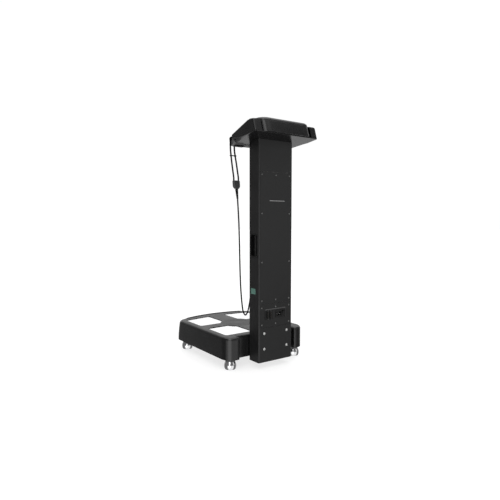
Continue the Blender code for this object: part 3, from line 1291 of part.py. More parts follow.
def build_hand_cord():
    cord_tube("palm_lead_right", PALM_LEAD_ROUTE, LEAD_DIAMETER, 1.5 * LEAD_DIAMETER)
    cord_tube("thumb_lead_right", THUMB_LEAD_ROUTE, LEAD_DIAMETER, 2 * LEAD_DIAMETER)
    cord_tube("hand_cord_right", CORD_ROUTE, CORD_DIAMETER, 3 * CORD_DIAMETER)

    start = GRIP_OUTER + TOUCH
    turn = start + BOOT_TURN
    level = GRIP_Z + BOOT_RISE
    tip = (BOOT_RADIUS * 0.7, turn + BOOT_RADIUS)
    profile = ((BOOT_RADIUS, start), (BOOT_RADIUS, turn + BOOT_RADIUS / 3), tip)
    stub = turned(profile, (0, GRIP_Y, level), (1, 0, 0), 16)
    arm = turned(BOOT_ARM, (turn, GRIP_Y, level), (0, 0, -1), 16)
    solid("lead_boot_right", RUBBER, [stub, arm])

    half_thick = JUNCTION_THICKNESS / 2
    rings = []
    for share, width in JUNCTION_SECTIONS:
        centre = Vector(JUNCTION_TOP).lerp(Vector(JUNCTION_BOTTOM), share)
        half = JUNCTION_WIDTH / 2 * width
        thick = half_thick * (1 - JUNCTION_THINNING * (1 - width))
        outline = rectangle(half, -thick, thick, thick * JUNCTION_ROUND)
        rings.append([(centre.x + x, centre.y + y, centre.z) for x, y in outline])
    solid("lead_junction_right", RUBBER, [loft(rings)])

    top = Vector(JUNCTION_BOTTOM) - Vector((0, 0, TOUCH))
    bottom = Vector(CORD_ROUTE[0]) + Vector((0, 0, TOUCH))
    rings = []
    for step in range(7):
        share = step / 6
        radius = RELIEF_RADII[0] + (RELIEF_RADII[1] - RELIEF_RADII[0]) * share
        centre = top.lerp(bottom, share)
        rings.append([(centre.x + x, centre.y + y, centre.z) for x, y in circle((0, 0), radius, 14)])
    solid("cord_relief_right", RUBBER, [loft(rings)])

    ring_inner = LEAD_DIAMETER / 2 + LOOSE
    ring_outer = ring_inner + CLIP_RING_WALL
    palm = route_at(PALM_LEAD_ROUTE, CLIP_Z)
    thumb = route_at(THUMB_LEAD_ROUTE, CLIP_Z)
    half = CLIP_HEIGHT / 2
    rings = [collar(ring_inner, ring_outer, -half, half, spot, (0, 0, 1), 16) for spot in (palm, thumb)]
    bar_x = (thumb.x + ring_inner + CLIP_RING_WALL / 2, palm.x - ring_inner - CLIP_RING_WALL / 2)
    deep, tall = (size / 2 for size in CLIP_BAR)
    bar = box(bar_x, (thumb.y - deep, thumb.y + deep), (CLIP_Z - tall, CLIP_Z + tall))
    solid("lead_clip_right", RUBBER, [bar] + rings)


def main():
    build_base_shell()
    build_base_top()
    build_chassis()
    build_bottom_plate()
    build_load_cells_and_feet()
    build_column_shell()
    build_column_foot()
    build_back_covers()
    build_sockets()
    build_hand_cups()
    build_column_inside()
    build_neck()
    build_head_lower()
    build_head_upper()
    build_head_rear()
    build_display()
    build_cradles()
    build_grips()
    build_hand_cord()


main()
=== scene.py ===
import math

import bmesh
import bpy
from mathutils import Matrix, Vector


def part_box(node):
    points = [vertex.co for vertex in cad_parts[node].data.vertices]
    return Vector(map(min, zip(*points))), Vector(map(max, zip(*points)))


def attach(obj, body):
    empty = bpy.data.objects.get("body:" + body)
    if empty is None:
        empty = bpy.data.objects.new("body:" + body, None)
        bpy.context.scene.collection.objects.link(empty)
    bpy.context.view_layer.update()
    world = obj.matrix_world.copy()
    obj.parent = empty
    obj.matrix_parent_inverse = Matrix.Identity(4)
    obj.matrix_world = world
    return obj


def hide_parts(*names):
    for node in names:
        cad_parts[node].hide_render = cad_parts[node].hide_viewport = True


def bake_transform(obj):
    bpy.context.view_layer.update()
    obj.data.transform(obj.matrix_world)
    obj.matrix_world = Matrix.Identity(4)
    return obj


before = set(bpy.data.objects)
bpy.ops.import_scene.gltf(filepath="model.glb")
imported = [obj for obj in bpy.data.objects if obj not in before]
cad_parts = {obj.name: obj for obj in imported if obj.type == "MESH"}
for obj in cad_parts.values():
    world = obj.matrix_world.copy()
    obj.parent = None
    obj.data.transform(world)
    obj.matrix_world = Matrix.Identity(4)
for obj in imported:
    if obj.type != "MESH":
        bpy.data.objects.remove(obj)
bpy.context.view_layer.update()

# Gaps shared with the solids, in metres like all sizes here
TOUCH = 0.0003
LOOSE = 0.0005
PAST = 0.004                  # how far a cutter runs past the face it opens

# Platform
BASE_LOW, BASE_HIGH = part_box("base_shell")
BASE_HALF = BASE_HIGH[0]
BASE_FRONT = BASE_LOW[1]
BASE_BACK = BASE_HIGH[1]
BASE_BOTTOM = BASE_LOW[2]
LIP_HEIGHT = 0.003
LIP_HALF = BASE_HALF - 0.040
LIP_RUN = 0.020               # over which the lip's ends rise
# Insets from the rounded edge, and shares of the lip's height
LIP_PROFILE = ((0.0002, 0.4), (0.0006, 0.8), (0.0012, 1.0), (0.0018, 1.0), (0.0024, 0.8), (0.0028, 0.0))
BASE_TOP = BASE_HIGH[2] - LIP_HEIGHT
BASE_BOW = 0.050
BASE_LEAN = 0.018             # how far the front stands back at the top
BASE_CORNER = 0.050
BASE_EDGE = 0.012
BASE_HEM = 0.0008             # rounding of the lower edge
BASE_WALL = 0.003
BASE_TOP_WALL = 0.009
NOTCH_HALF = BASE_HALF - 0.0655
NOTCH_ROUND = 0.010
PAD_Y = BASE_BACK - 0.250
PAD_RADIUS = 0.075
PAD_TOP = BASE_TOP + 0.0004
PAD_FLOOR = PAD_TOP - 0.0016
PAD_GROOVES = (0.066, 0.056, 0.046, 0.036, 0.026)
GROOVE_DEPTH = 0.0004
ELECTRODE_INNER = 0.046
ELECTRODE_OUTER = BASE_HALF - 0.0315
ELECTRODE_NEAR = 0.031
ELECTRODE_CORNER = 0.012
ELECTRODE_RING = PAD_RADIUS + 0.006
ELECTRODE_TOP = BASE_TOP - 0.002
ELECTRODE_FLOOR = ELECTRODE_TOP - 0.002
ELECTRODE_EDGE = 0.0007
TOE_MARGIN = 0.039
HEEL_MARGIN = 0.077
HEEL_SLANT = 0.019            # how much shorter a heel electrode is at its outer side
POCKET_GAP = 0.0004

# Levelling feet
FOOT_RADIUS = 0.0270
FOOT_SOLE = 0.0235
FOOT_SHOULDER = 0.0215
FOOT_WIDEST = 0.0155          # height of the widest ring
FOOT_TOP = 0.0340
SHOULDER_EDGE = 0.0006
SOLE_THICKNESS = 0.0012
SOLE_BORE = 0.0090
STUD_RADIUS = 0.0050
STUD_ROOT = 0.0043
THREAD_PITCH = 0.00125
THREAD_END = 0.0560
NUT_PROFILE = ((0.0086, 0.0412), (0.0092, 0.0416), (0.0092, 0.0462), (0.0086, 0.0466))

# Column
COLUMN_LOW, COLUMN_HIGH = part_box("column_shell")
COLUMN_HALF = COLUMN_HIGH[0]
COLUMN_FRONT = COLUMN_LOW[1]
COLUMN_BACK = COLUMN_HIGH[1]
COLUMN_BOTTOM = COLUMN_LOW[2]
COLUMN_TOP = 0.980            # at the back face
COLUMN_WALL = 0.002
COLUMN_CORNER = 0.006
UNDERSLOPE = 0.137            # rise of the head's underside per metre towards the back
COVER_HALF = COLUMN_HALF - 0.007
COVER_BOTTOM = BASE_TOP + 0.037
COVER_TOP = COLUMN_TOP - 0.134
COVER_SEAM = COVER_BOTTOM + 0.1015
SCREW_X = COVER_HALF - 0.0095
SCREW_ROWS = ((COVER_TOP - 0.013, 3), (0.669, 2), (0.461, 2), (COVER_SEAM + 0.0155, 3),
              (COVER_SEAM - 0.0155, 3), (COVER_BOTTOM + 0.0125, 3))
COVER_SCREW = (0.0035, 0.0017, 0.0013, 0.0010, 0.4)    # radius, height, socket radius and depth, dome
COLUMN_BOLT = (0.0065, 0.0036, 0.0029, 0.0024, 0.3)
BOLT_X = COLUMN_HALF - 0.0292
BOLT_HEIGHTS = (BASE_BOTTOM + 0.0426, BASE_TOP + 0.012)
BOLT_HOLE = 0.0045
CUP_Y = COLUMN_BACK - 0.0355
CUP_HALF = 0.025
CUP_LOW = 0.485
CUP_HIGH = 0.580
CUP_CORNER = 0.008
CUP_DEPTH = 0.026
CUP_WALL = 0.002
CUP_FLANGE = 0.005
CUP_RIM = 0.0015
GLAND_X = 0.050
GLAND_Z = 0.335
GLAND_HOLE = 0.0063
LABEL_SIDES = ((COLUMN_BACK - 0.058, COLUMN_BACK - 0.024), (0.323, 0.347))
LABEL_CORNER = 0.002
LABEL_HEIGHT = 0.00018
INLAY_SIDES = ((-0.048, 0.035), (0.7222, 0.7248))
INLAY_CORNER = 0.0012
INLAY_HEIGHT = 0.0002

# Sockets
SOCKET_Z = COVER_BOTTOM + 0.0535
INLET_FACE = COLUMN_BACK + TOUCH + 0.0025
MOUTH_X = -0.0160
INLET_PINS = ((-0.0065, -0.0015), (0.0065, -0.0015), (0.0, 0.0025))
INLET_PIN_HALF = (0.001, 0.002)
INLET_PIN_ROUND = 0.0004
INLET_PIN_ENDS = (INLET_FACE - 0.0185, INLET_FACE - 0.0035)
PORTS_X = 0.0375
PORT_PITCH = 0.0155
PORT_ROWS = ((-0.0014, 9), (0.0014, 8))
PORT_PIN_PITCH = 0.00276
PORT_PIN_Y = COLUMN_BACK + 0.0058
JACK_SCREW_Y = COLUMN_BACK + TOUCH + 0.0015
JACK_SCREW_REACH = 0.0175
RIM_OUTER = ((-0.055, 0.058), (SOCKET_Z - 0.0205, SOCKET_Z + 0.0260))
RIM_INNER = ((-0.0545, 0.0560), (SOCKET_Z - 0.0300, SOCKET_Z + 0.0220))
RIM_CORNERS = (0.004, 0.002)
RIM_FACES = (COLUMN_BACK - 0.0002, COLUMN_BACK + 0.0011)

# Head
HEAD_BACK = COLUMN_BACK + 0.078
HEAD_FRONT = COLUMN_FRONT - 0.018
HEAD_HALF = 0.1675
HEAD_WALL = 0.003
HEAD_ROUND = 0.007
RIDGE_Z = COLUMN_TOP + 0.0655
RIDGE_Y = HEAD_BACK - 0.034
SLOPE_Y = HEAD_BACK - 0.058
SLOPE_DROP = 0.003            # from the ridge to the display slope
BACK_STEP = 0.010
BACK_DROP = 0.003
BACK_ROUND = 0.008
HEAD_LEAN = 0.016             # how far the head's back stands forward at the ridge
BEVEL_START = COLUMN_BACK + 0.017
BEVEL_RISE = (0.001, 0.018)   # of the underside's bevel at the back, and what it gains to the front
BEVEL_RUN = (0.006, 0.016)
REAR_HALF = HEAD_HALF - 0.0355
REAR_LAP = 0.055
REAR_BULGE = 0.012
REAR_RISE = 0.009
REAR_CORNER = 0.040
REAR_EDGE = 0.011
REAR_END_WALL = 0.028
REAR_GROOVE = 0.0008
DISPLAY_PITCH = math.radians(19.5)
DISPLAY_Y = (SLOPE_Y + HEAD_FRONT) / 2
GLASS_SIZE = (0.232, 0.100)
GLASS_THICKNESS = 0.002
GLASS_CORNER = 0.0032
GLASS_LEDGE = 0.018
LIT_HALF = (0.1042, 0.0380)
LIT_FADE = 0.0006

# Grips, leads and hand cord
GRIP_Z = COLUMN_TOP + 0.001
GRIP_Y = HEAD_FRONT - 0.0233
TERMINAL_X = (0.0940, 0.1440)
TERMINAL_HALF = 0.009
TERMINAL_RINGS = (            # height from the grip's axis, growth and corner radius
    (-0.0237, -0.0012, 0.0038), (-0.0233, -0.0004, 0.0042), (-0.0228, 0.0002, 0.0044),
    (-0.0195, 0.0002, 0.0044), (-0.0175, 0.0002, 0.0044), (-0.0170, -0.0004, 0.0042),
)
BOOT_START = 0.1538           # the grip's outer end
BOOT_TURN = 0.0055
BOOT_Z = GRIP_Z + 0.011
BOOT_DROP = 0.007
BOOT_RADII = (0.0052, 0.0042)
BOOT_GROOVE = 0.0005
RELIEF_RADII = (0.0068, 0.0042)
RELIEF_GROOVE = 0.0009
JUNCTION_HALF = (0.017, 0.007)
JUNCTION_TOP = Vector((0.1300, 0.1295, 0.8120))
JUNCTION_BOTTOM = Vector((0.1275, 0.1295, 0.7760))
JUNCTION_RINGS = (            # shares of its length down, its width and its thickness
    (0.0, 0.84, 0.80), (0.02, 0.92, 0.92), (0.06, 0.99, 0.99), (0.12, 1.0, 1.0), (0.60, 1.0, 1.0),
    (0.72, 0.97, 0.99), (0.82, 0.87, 0.97), (0.90, 0.74, 0.95), (0.95, 0.64, 0.92), (0.98, 0.55, 0.88),
    (1.0, 0.48, 0.80),
)
LEAD_DIAMETER = 0.007
LEAD_MESH = (0.003, 20)       # spacing of its rings, and points in each
CORD_DIAMETER = 0.0065
CORD_MESH = (0.004, 18)

# Routes of the hand cord and its leads, the same points as the solids
PALM_LEAD_ROUTE = (
    (0.1593, 0.1302, 0.9792), (0.1593, 0.1302, 0.9720), (0.1592, 0.1300, 0.9580),
    (0.1584, 0.1297, 0.9400), (0.1561, 0.1295, 0.9200), (0.1516, 0.1295, 0.8850),
    (0.1462, 0.1295, 0.8500), (0.1424, 0.1295, 0.8260), (0.1420, 0.1295, 0.8123),
)
THUMB_LEAD_ROUTE = (
    (0.1395, 0.1305, 0.9572), (0.1394, 0.1304, 0.9480), (0.1380, 0.1300, 0.9340),
    (0.1340, 0.1297, 0.9120), (0.1285, 0.1295, 0.8850), (0.1225, 0.1295, 0.8500),
    (0.1184, 0.1295, 0.8260), (0.1180, 0.1295, 0.8123),
)
CORD_ROUTE = (
    (0.1225, 0.1295, 0.7327), (0.1212, 0.1295, 0.7150), (0.1182, 0.1295, 0.6700),
    (0.1155, 0.1295, 0.6217), (0.1130, 0.1295, 0.5400), (0.1112, 0.1295, 0.4646),
    (0.1088, 0.1295, 0.3900), (0.1052, 0.1295, 0.3260), (0.1000, 0.1295, 0.2740),
    (0.0935, 0.1295, 0.2360), (0.0810, 0.1295, 0.2180), (0.0685, 0.1295, 0.2330),
    (0.0605, 0.1294, 0.2620), (0.0545, 0.1292, 0.2920), (0.0508, 0.1295, 0.3160),
    (0.0502, 0.1319, 0.3260), (0.0500, 0.1385, 0.3326), (0.0500, 0.1475, 0.3350),
    (0.0500, 0.1559, 0.3350),
)

# Brightness of the room around the object, and the directions of its patches
ROOM_DIM = 0.15               # surroundings at the sides
ROOM_SKY = 2.0                # soft light from above
ROOM_BRIGHT = 1.05            # backdrop behind the object
ROOM_FRONT = 0.8              # pale ground on the camera's side
ROOM_GLINT = 1.2              # brighter patch on it, off the platform's corner
ROOM_EDGE = 3.0               # small lamp above, off the head's corners
ROOM_SEEN = 1.02              # what the camera sees behind everything
TO_BACKDROP = (-0.581, -0.814, 0.0)
TO_FRONT = (0.389, 0.873, -0.292)
TO_GLINT = (0.693, 0.658, -0.292)
TO_EDGE_LAMP = (0.522, 0.495, 0.695)


class Wiring:
    """Adds nodes to a tree, setting or linking their inputs."""

    def __init__(self, tree):
        self.tree = tree

    def feed(self, node, inputs):
        for key, value in inputs.items():
            if isinstance(value, bpy.types.NodeSocket):
                self.tree.links.new(value, node.inputs[key])
            else:
                node.inputs[key].default_value = value

    def add(self, kind, inputs=None, **settings):
        made = self.tree.nodes.new(kind)
        for key, value in settings.items():
            setattr(made, key, value)
        self.feed(made, inputs or {})
        return made

    def where(self):
        return self.add("ShaderNodeTexCoord").outputs["Object"]

    def upward(self):
        normal = self.add("ShaderNodeNewGeometry").outputs["Normal"]
        return self.add("ShaderNodeSeparateXYZ", {0: normal}).outputs["Z"]

    def noise(self, where, scale, detail=3.0, roughness=0.55):
        inputs = {"Vector": where, "Scale": scale, "Detail": detail, "Roughness": roughness}
        return self.add("ShaderNodeTexNoise", inputs).outputs["Fac"]

    def spread(self, value, low, high, to_low=0.0, to_high=1.0):
        inputs = {"Value": value, "From Min": low, "From Max": high, "To Min": to_low, "To Max": to_high}
        return self.add("ShaderNodeMapRange", inputs).outputs["Result"]

    def maths(self, operation, *values, **settings):
        return self.add("ShaderNodeMath", dict(enumerate(values)), operation=operation, **settings).outputs[0]

    def times(self, first, second):
        return self.maths("MULTIPLY", first, second)

    def plus(self, first, second, **settings):
        return self.maths("ADD", first, second, **settings)

    def tint(self, share, first, second):
        """A colour between two others, each a socket or a plain colour."""
        ends = [(*end, 1.0) if isinstance(end, tuple) else end for end in (first, second)]
        return self.add("ShaderNodeMix", {0: share, 6: ends[0], 7: ends[1]}, data_type="RGBA").outputs[2]

    def bump(self, height, strength, distance):
        inputs = {"Height": height, "Strength": strength, "Distance": distance}
        return self.add("ShaderNodeBump", inputs).outputs["Normal"]

    def group(self, tree, inputs):
        return self.add("ShaderNodeGroup", inputs, node_tree=tree).outputs


def effect(build, inputs, outputs):
    """A shader group of float inputs and outputs, wired by the function that it is named for."""
    tree = bpy.data.node_groups.new(build.__name__, "ShaderNodeTree")
    for label, value in inputs.items():
        socket = tree.interface.new_socket(label, in_out="INPUT", socket_type="NodeSocketFloat")
        socket.default_value = value
    for label in outputs:
        tree.interface.new_socket(label, in_out="OUTPUT", socket_type="NodeSocketFloat")
    wires = Wiring(tree)
    given = wires.add("NodeGroupInput").outputs
    wires.add("NodeGroupOutput", build(wires, given, wires.where()))
    return tree


def moulded_grain(wires, given, where):
    """Fine surface grain, and slow blotches in tone and gloss."""
    fine = wires.noise(where, given["Grain"], 2.0, 0.6)
    slow = wires.noise(where, given["Blotch"], 5.0, 0.6)
    return {"Height": fine, "Tone": wires.spread(slow, 0.3, 0.7)}


def edge_rub(wires, given, where):
    """Where handling has rubbed the edges: the bevels, broken up into patches."""
    edge = wires.add("ShaderNodeAttribute", attribute_name="edge").outputs["Fac"]
    patch = wires.spread(wires.noise(where, given["Patch"], 6.0, 0.65), 0.42, 0.66)
    return {"Mask": wires.times(wires.times(edge, patch), given["Amount"])}


def settled_dust(wires, given, where):
    """A thin film on faces that look up."""
    film = wires.spread(wires.noise(where, 22.0, 5.0, 0.6), 0.35, 0.75, 0.2, 1.0)
    speck = wires.spread(wires.noise(where, given["Speck"], 2.0), 0.45, 0.75, 0.35, 1.0)
    mask = wires.times(wires.spread(wires.upward(), 0.55, 1.0), wires.times(film, speck))
    return {"Mask": wires.times(mask, given["Amount"])}


def brush_lines(wires, given, where):
    """Fine lines left by brushing or polishing, stretched along X, Y or Z."""
    scale = wires.add("ShaderNodeCombineXYZ", {axis: given[axis] for axis in "XYZ"}).outputs[0]
    spot = wires.add("ShaderNodeVectorMath", {0: where, 1: scale}, operation="MULTIPLY").outputs[0]
    lines = wires.noise(spot, 1.0, 3.0, 0.6)
    smear = wires.noise(where, 26.0, 4.0, 0.6)
    streak = wires.times(wires.spread(lines, 0.3, 0.7), wires.spread(smear, 0.3, 0.7, 0.4, 1.0))
    return {"Height": lines, "Streak": streak}


GRAIN = effect(moulded_grain, {"Grain": 1500.0, "Blotch": 14.0}, ("Height", "Tone"))
RUB = effect(edge_rub, {"Patch": 55.0, "Amount": 0.5}, ("Mask",))
DUST = effect(settled_dust, {"Amount": 0.3, "Speck": 420.0}, ("Mask",))
BRUSH = effect(brush_lines, {"X": 900.0, "Y": 900.0, "Z": 900.0}, ("Height", "Streak"))
DUST_GREY = (0.20, 0.195, 0.185)
RUBBED_BRIGHT = (0.90, 0.90, 0.90)


def greys(dark, light, cool=0.0):
    """A dark and a light grey, both a little towards blue."""
    return (dark, dark, dark + cool), (light, light, light + cool)


def blank_finish(name):
    made = bpy.data.materials.new(name)
    made.use_nodes = True
    return made, Wiring(made.node_tree), made.node_tree.nodes["Principled BSDF"]


def moulded(name, tones, roughness, grain=1500.0, depth=0.00004, rubbed=None, dust=0.0, specular=0.5,
            blotch=14.0, matte=0.0):
    """Plastic, rubber or paint: two close tones, grain, rubbed edges and a little dust."""
    made, wires, shader = blank_finish(name)
    texture = wires.group(GRAIN, {"Grain": grain, "Blotch": blotch})
    colour = wires.tint(texture["Tone"], *tones)
    if rubbed:
        mask = wires.group(RUB, {"Amount": rubbed[1]})["Mask"]
        colour = wires.tint(mask, colour, rubbed[0])
    rough = wires.spread(texture["Tone"], 0.0, 1.0, roughness - 0.04, roughness + 0.05)
    if dust:
        film = wires.group(DUST, {"Amount": dust})["Mask"]
        colour = wires.tint(film, colour, DUST_GREY)
        rough = wires.plus(rough, film, use_clamp=True)
    if matte:
        rough = wires.plus(rough, wires.spread(wires.upward(), 0.80, 0.99, 0.0, matte))
    bump = wires.bump(texture["Height"], 0.6, depth)
    wires.feed(shader, {"Base Color": colour, "Roughness": rough, "Normal": bump})
    wires.feed(shader, {"Specular IOR Level": specular})
    return made


def metal(name, tones, roughness, along=(900.0, 900.0, 900.0), depth=0.000006, rubbed=0.0):
    """Bare or plated metal with brush lines and faint smears."""
    made, wires, shader = blank_finish(name)
    lines = wires.group(BRUSH, dict(zip("XYZ", along)))
    colour = wires.tint(lines["Streak"], *tones[::-1])
    if rubbed:
        mask = wires.group(RUB, {"Amount": rubbed, "Patch": 160.0})["Mask"]
        colour = wires.tint(mask, colour, RUBBED_BRIGHT)
    rough = wires.spread(lines["Streak"], 0.0, 1.0, roughness, roughness + 0.10)
    bump = wires.bump(lines["Height"], 0.5, depth)
    wires.feed(shader, {"Base Color": colour, "Roughness": rough, "Normal": bump, "Metallic": 1.0})
    return made


def screen_glass():
    """Black-backed glass whose lit area is a shade cooler than its border."""
    made, wires, shader = blank_finish("screen_glass")
    where = wires.where()
    spot = wires.add("ShaderNodeSeparateXYZ", {0: where}).outputs
    side = wires.maths("ABSOLUTE", spot["X"])
    reach = wires.maths("ABSOLUTE", wires.maths("SUBTRACT", spot["Y"], DISPLAY_Y))
    inside = [wires.spread(value, half + LIT_FADE, half) for value, half in zip((side, reach), LIT_HALF)]
    smear = wires.spread(wires.noise(where, 30.0, 5.0, 0.65), 0.45, 0.75)
    colour = wires.tint(wires.times(*inside), (0.0035, 0.0035, 0.0038), (0.010, 0.012, 0.016))
    wires.feed(shader, {"Base Color": colour, "Roughness": wires.spread(smear, 0.0, 1.0, 0.05, 0.13)})
    return made


def circuit_green():
    """Solder mask with traces and bare pads."""
    made, wires, shader = blank_finish("circuit_green")
    cells = wires.add("ShaderNodeTexVoronoi", {"Vector": wires.where(), "Scale": 170.0}, distance="CHEBYCHEV")
    trace = wires.spread(cells.outputs["Distance"], 0.40, 0.44)
    pad = wires.spread(cells.outputs["Distance"], 0.12, 0.08)
    colour = wires.tint(trace, (0.010, 0.070, 0.028), (0.018, 0.110, 0.045))
    colour = wires.tint(pad, colour, (0.60, 0.58, 0.52))
    rough = wires.spread(pad, 0.0, 1.0, 0.42, 0.25)
    wires.feed(shader, {"Base Color": colour, "Roughness": rough, "Metallic": pad})
    return made


RUB_GREY = ((0.075, 0.075, 0.076), 0.55)
BASE_PLASTIC = moulded("base_plastic", greys(0.0055, 0.0075, 0.0002), 0.22, rubbed=RUB_GREY,
                       dust=0.04, matte=0.25)
CONSOLE_PLASTIC = moulded("console_plastic", greys(0.0050, 0.0070, 0.0002), 0.24,
                          rubbed=RUB_GREY, dust=0.04)
COLUMN_PAINT = moulded("column_paint", greys(0.0055, 0.0075, 0.0002), 0.40, 850.0, 0.00009,
                       rubbed=((0.030, 0.030, 0.031), 0.3))
SOCKET_PLASTIC = moulded("socket_plastic", greys(0.0030, 0.0048, 0.0001), 0.40, 2400.0,
                         rubbed=((0.05, 0.05, 0.05), 0.4), specular=0.4)
# Grip cores and cradles are lighter greys than the head's plastic: painted reflection of the pale floor below
# the head.
GRIP_GREY_PAINTED_REFLECTION = moulded("grip_plastic", greys(0.085, 0.105, 0.001), 0.42, 1900.0)
CRADLE_GREY_PAINTED_REFLECTION = moulded("cradle_plastic", greys(0.13, 0.16), 0.40, 1900.0)
TERMINAL_PLASTIC = moulded("terminal_plastic", greys(0.003, 0.005), 0.55, 1900.0,
                           specular=0.1)
JUNCTION_PLASTIC = moulded("junction_plastic", greys(0.040, 0.052, 0.001), 0.50, 1900.0)
CORD_RUBBER = moulded("cord_rubber", greys(0.0040, 0.0060, 0.0001), 0.55, 2600.0,
                      specular=0.05, blotch=30.0)
SOLE_RUBBER = moulded("sole_rubber", ((0.012, 0.012, 0.012), (0.022, 0.021, 0.020)), 0.72,
                      1300.0, 0.0001)
PAD_PLASTIC = moulded("pad_plastic", greys(0.010, 0.016), 0.50, 1100.0, 0.0001, dust=0.05)
GREEN_LABEL = moulded("green_label", ((0.060, 0.150, 0.118), (0.092, 0.195, 0.158)), 0.45,
                      2600.0)
# The socket rim's lighter grey is a painted highlight, standing in for light caught along its edges.
RIM_PAINTED_HIGHLIGHT = moulded("rim_painted_highlight", greys(0.056, 0.072, 0.001), 0.40, 2600.0)
GREY_INLAY = moulded("grey_inlay", greys(0.26, 0.33), 0.40, 2600.0)
BRIGHT_STEEL = metal("bright_steel", greys(0.84, 0.94, 0.01), 0.16, (700.0, 24.0, 700.0),
                     rubbed=0.4)
SLEEVE_STEEL = metal("sleeve_steel", greys(0.62, 0.77, 0.01), 0.15, (1500.0, 30.0, 30.0))
CHROME = metal("chrome", ((0.78, 0.79, 0.80), (0.88, 0.88, 0.89)), 0.045, (60.0, 60.0, 1200.0),
               0.000002)
ZINC = metal("zinc", ((0.50, 0.50, 0.50), (0.74, 0.74, 0.73)), 0.24, (420.0, 420.0, 420.0))
SCREW_STEEL = metal("screw_steel", greys(0.15, 0.26), 0.32, (600.0, 600.0, 600.0))
GOLD_PIN = metal("contact_gold", ((0.10, 0.085, 0.055), (0.17, 0.145, 0.095)), 0.30)
CAST_ALLOY = metal("cast_alloy", ((0.42, 0.43, 0.44), (0.62, 0.63, 0.64)), 0.42, (300.0, 300.0, 300.0),
                   0.00005)
SCREEN_GLASS = screen_glass()
CIRCUIT_GREEN = circuit_green()


def arc(centre, radius, start, end, steps):
    """Points of a round stretch from one angle to another."""
    points = []
    for step in range(steps + 1):
        angle = start + (end - start) * step / steps
        points.append((centre[0] + radius * math.cos(angle), centre[1] + radius * math.sin(angle)))
    return points


def circle(centre, radius, sides):
    return arc(centre, radius, 0, math.tau, sides)[:-1]


def rounding(radius, steps):
    """Insets and drops of a rounded edge, from its side up to its top."""
    angles = [math.pi / 2 * step / steps for step in range(steps + 1)]
    return [(radius * (1 - math.cos(angle)), radius * (1 - math.sin(angle))) for angle in angles]


def rounded_outline(corners, steps=8):
    """An outline through corners (x, y, radius), each turned by an arc of its own radius."""
    points = []
    count = len(corners)
    for index, (x, y, radius) in enumerate(corners):
        if radius <= 0:
            points.append((x, y))
            continue
        corner = Vector((x, y))
        before = (Vector(corners[index - 1][:2]) - corner).normalized()
        after = (Vector(corners[(index + 1) % count][:2]) - corner).normalized()
        half = before.angle(after) / 2
        reach = radius / math.tan(half)
        centre = corner + (before + after).normalized() * radius / math.sin(half)
        start = corner + before * reach - centre
        end = corner + after * reach - centre
        turn = start.angle_signed(end)
        first = math.atan2(start.y, start.x)
        points += arc(centre, radius, first, first - turn, steps)
    return points


def rectangle(x, y, radius=0.0, steps=8, grow=0.0):
    """A rectangle between two pairs of sides, grown all round, with rounded corners."""
    left, right = x[0] - grow, x[1] + grow
    low, high = y[0] - grow, y[1] + grow
    corners = ((right, low), (right, high), (left, high), (left, low))
    return rounded_outline([(*corner, radius) for corner in corners], steps)


def loft(rings, closed=False):
    """A body through rings of equal point counts, capped at both ends or closed on itself."""
    body = bmesh.new()
    loops = [[body.verts.new(point) for point in ring] for ring in rings]
    pairs = list(zip(loops, loops[1:]))
    if closed:
        pairs.append((loops[-1], loops[0]))
    for lower, upper in pairs:
        for index in range(len(lower)):
            following = (index + 1) % len(lower)
            body.faces.new((lower[index], lower[following], upper[following], upper[index]))
    if not closed:
        body.faces.new(loops[0][::-1])
        body.faces.new(loops[-1])
    bmesh.ops.remove_doubles(body, verts=body.verts, dist=1e-7)
    bmesh.ops.recalc_face_normals(body, faces=body.faces)
    return body


def place(outline, axis, level):
    """Lay a flat outline square to an axis: X gives (y, z), Y gives (x, z), Z gives (x, y)."""
    spot = "XYZ".index(axis)
    return [(*pair[:spot], level, *pair[spot:]) for pair in outline]


def prism(outline, axis, low, high):
    return loft((place(outline, axis, low), place(outline, axis, high)))


def box(x, y, z):
    return prism(((x[0], y[0]), (x[1], y[0]), (x[1], y[1]), (x[0], y[1])), "Z", z[0], z[1])


def turned(profile, origin, direction, sides):
    """A turned body: profile is (radius, distance along direction) pairs."""
    turn = Vector(direction).to_track_quat("Z", "Y").to_matrix()
    rings = []
    for radius, along in profile:
        ring = place(circle((0, 0), radius, sides), "Z", along)
        rings.append([turn @ Vector(point) + Vector(origin) for point in ring])
    return loft(rings)


def eased(profile, radius, steps):
    """A profile with its inner corners rounded."""
    points = [profile[0]]
    for before, corner, after in zip(profile, profile[1:], profile[2:]):
        here = Vector(corner)
        back = Vector(before) - here
        ahead = Vector(after) - here
        reach = min(radius, back.length * 0.49, ahead.length * 0.49)
        start = here + back.normalized() * reach
        end = here + ahead.normalized() * reach
        for step in range(steps + 1):
            t = step / steps
            points.append(tuple(start * (1 - t) ** 2 + here * 2 * t * (1 - t) + end * t ** 2))
    points.append(profile[-1])
    return points


def gather(bodies):
    """Several bodies as one mesh, each still separate."""
    whole = bmesh.new()
    for body in bodies:
        part = bpy.data.meshes.new("part")
        body.to_mesh(part)
        body.free()
        whole.from_mesh(part)
        bpy.data.meshes.remove(part)
    return whole


def node_body(node):
    """A node's shape with its corners merged and its flat faces joined."""
    body = bmesh.new()
    body.from_mesh(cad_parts[node].data)
    bmesh.ops.remove_doubles(body, verts=body.verts, dist=2e-6)
    bmesh.ops.dissolve_limit(body, angle_limit=math.radians(0.5), verts=body.verts, edges=body.edges)
    return body


def add_object(name, data):
    made = bpy.data.objects.new(name, data)
    bpy.context.scene.collection.objects.link(made)
    return made


def make_object(name, body):
    mesh = bpy.data.meshes.new(name)
    body.to_mesh(mesh)
    body.free()
    return add_object(name, mesh)


def discard(made):
    mesh = made.data
    bpy.data.objects.remove(made)
    bpy.data.meshes.remove(mesh)


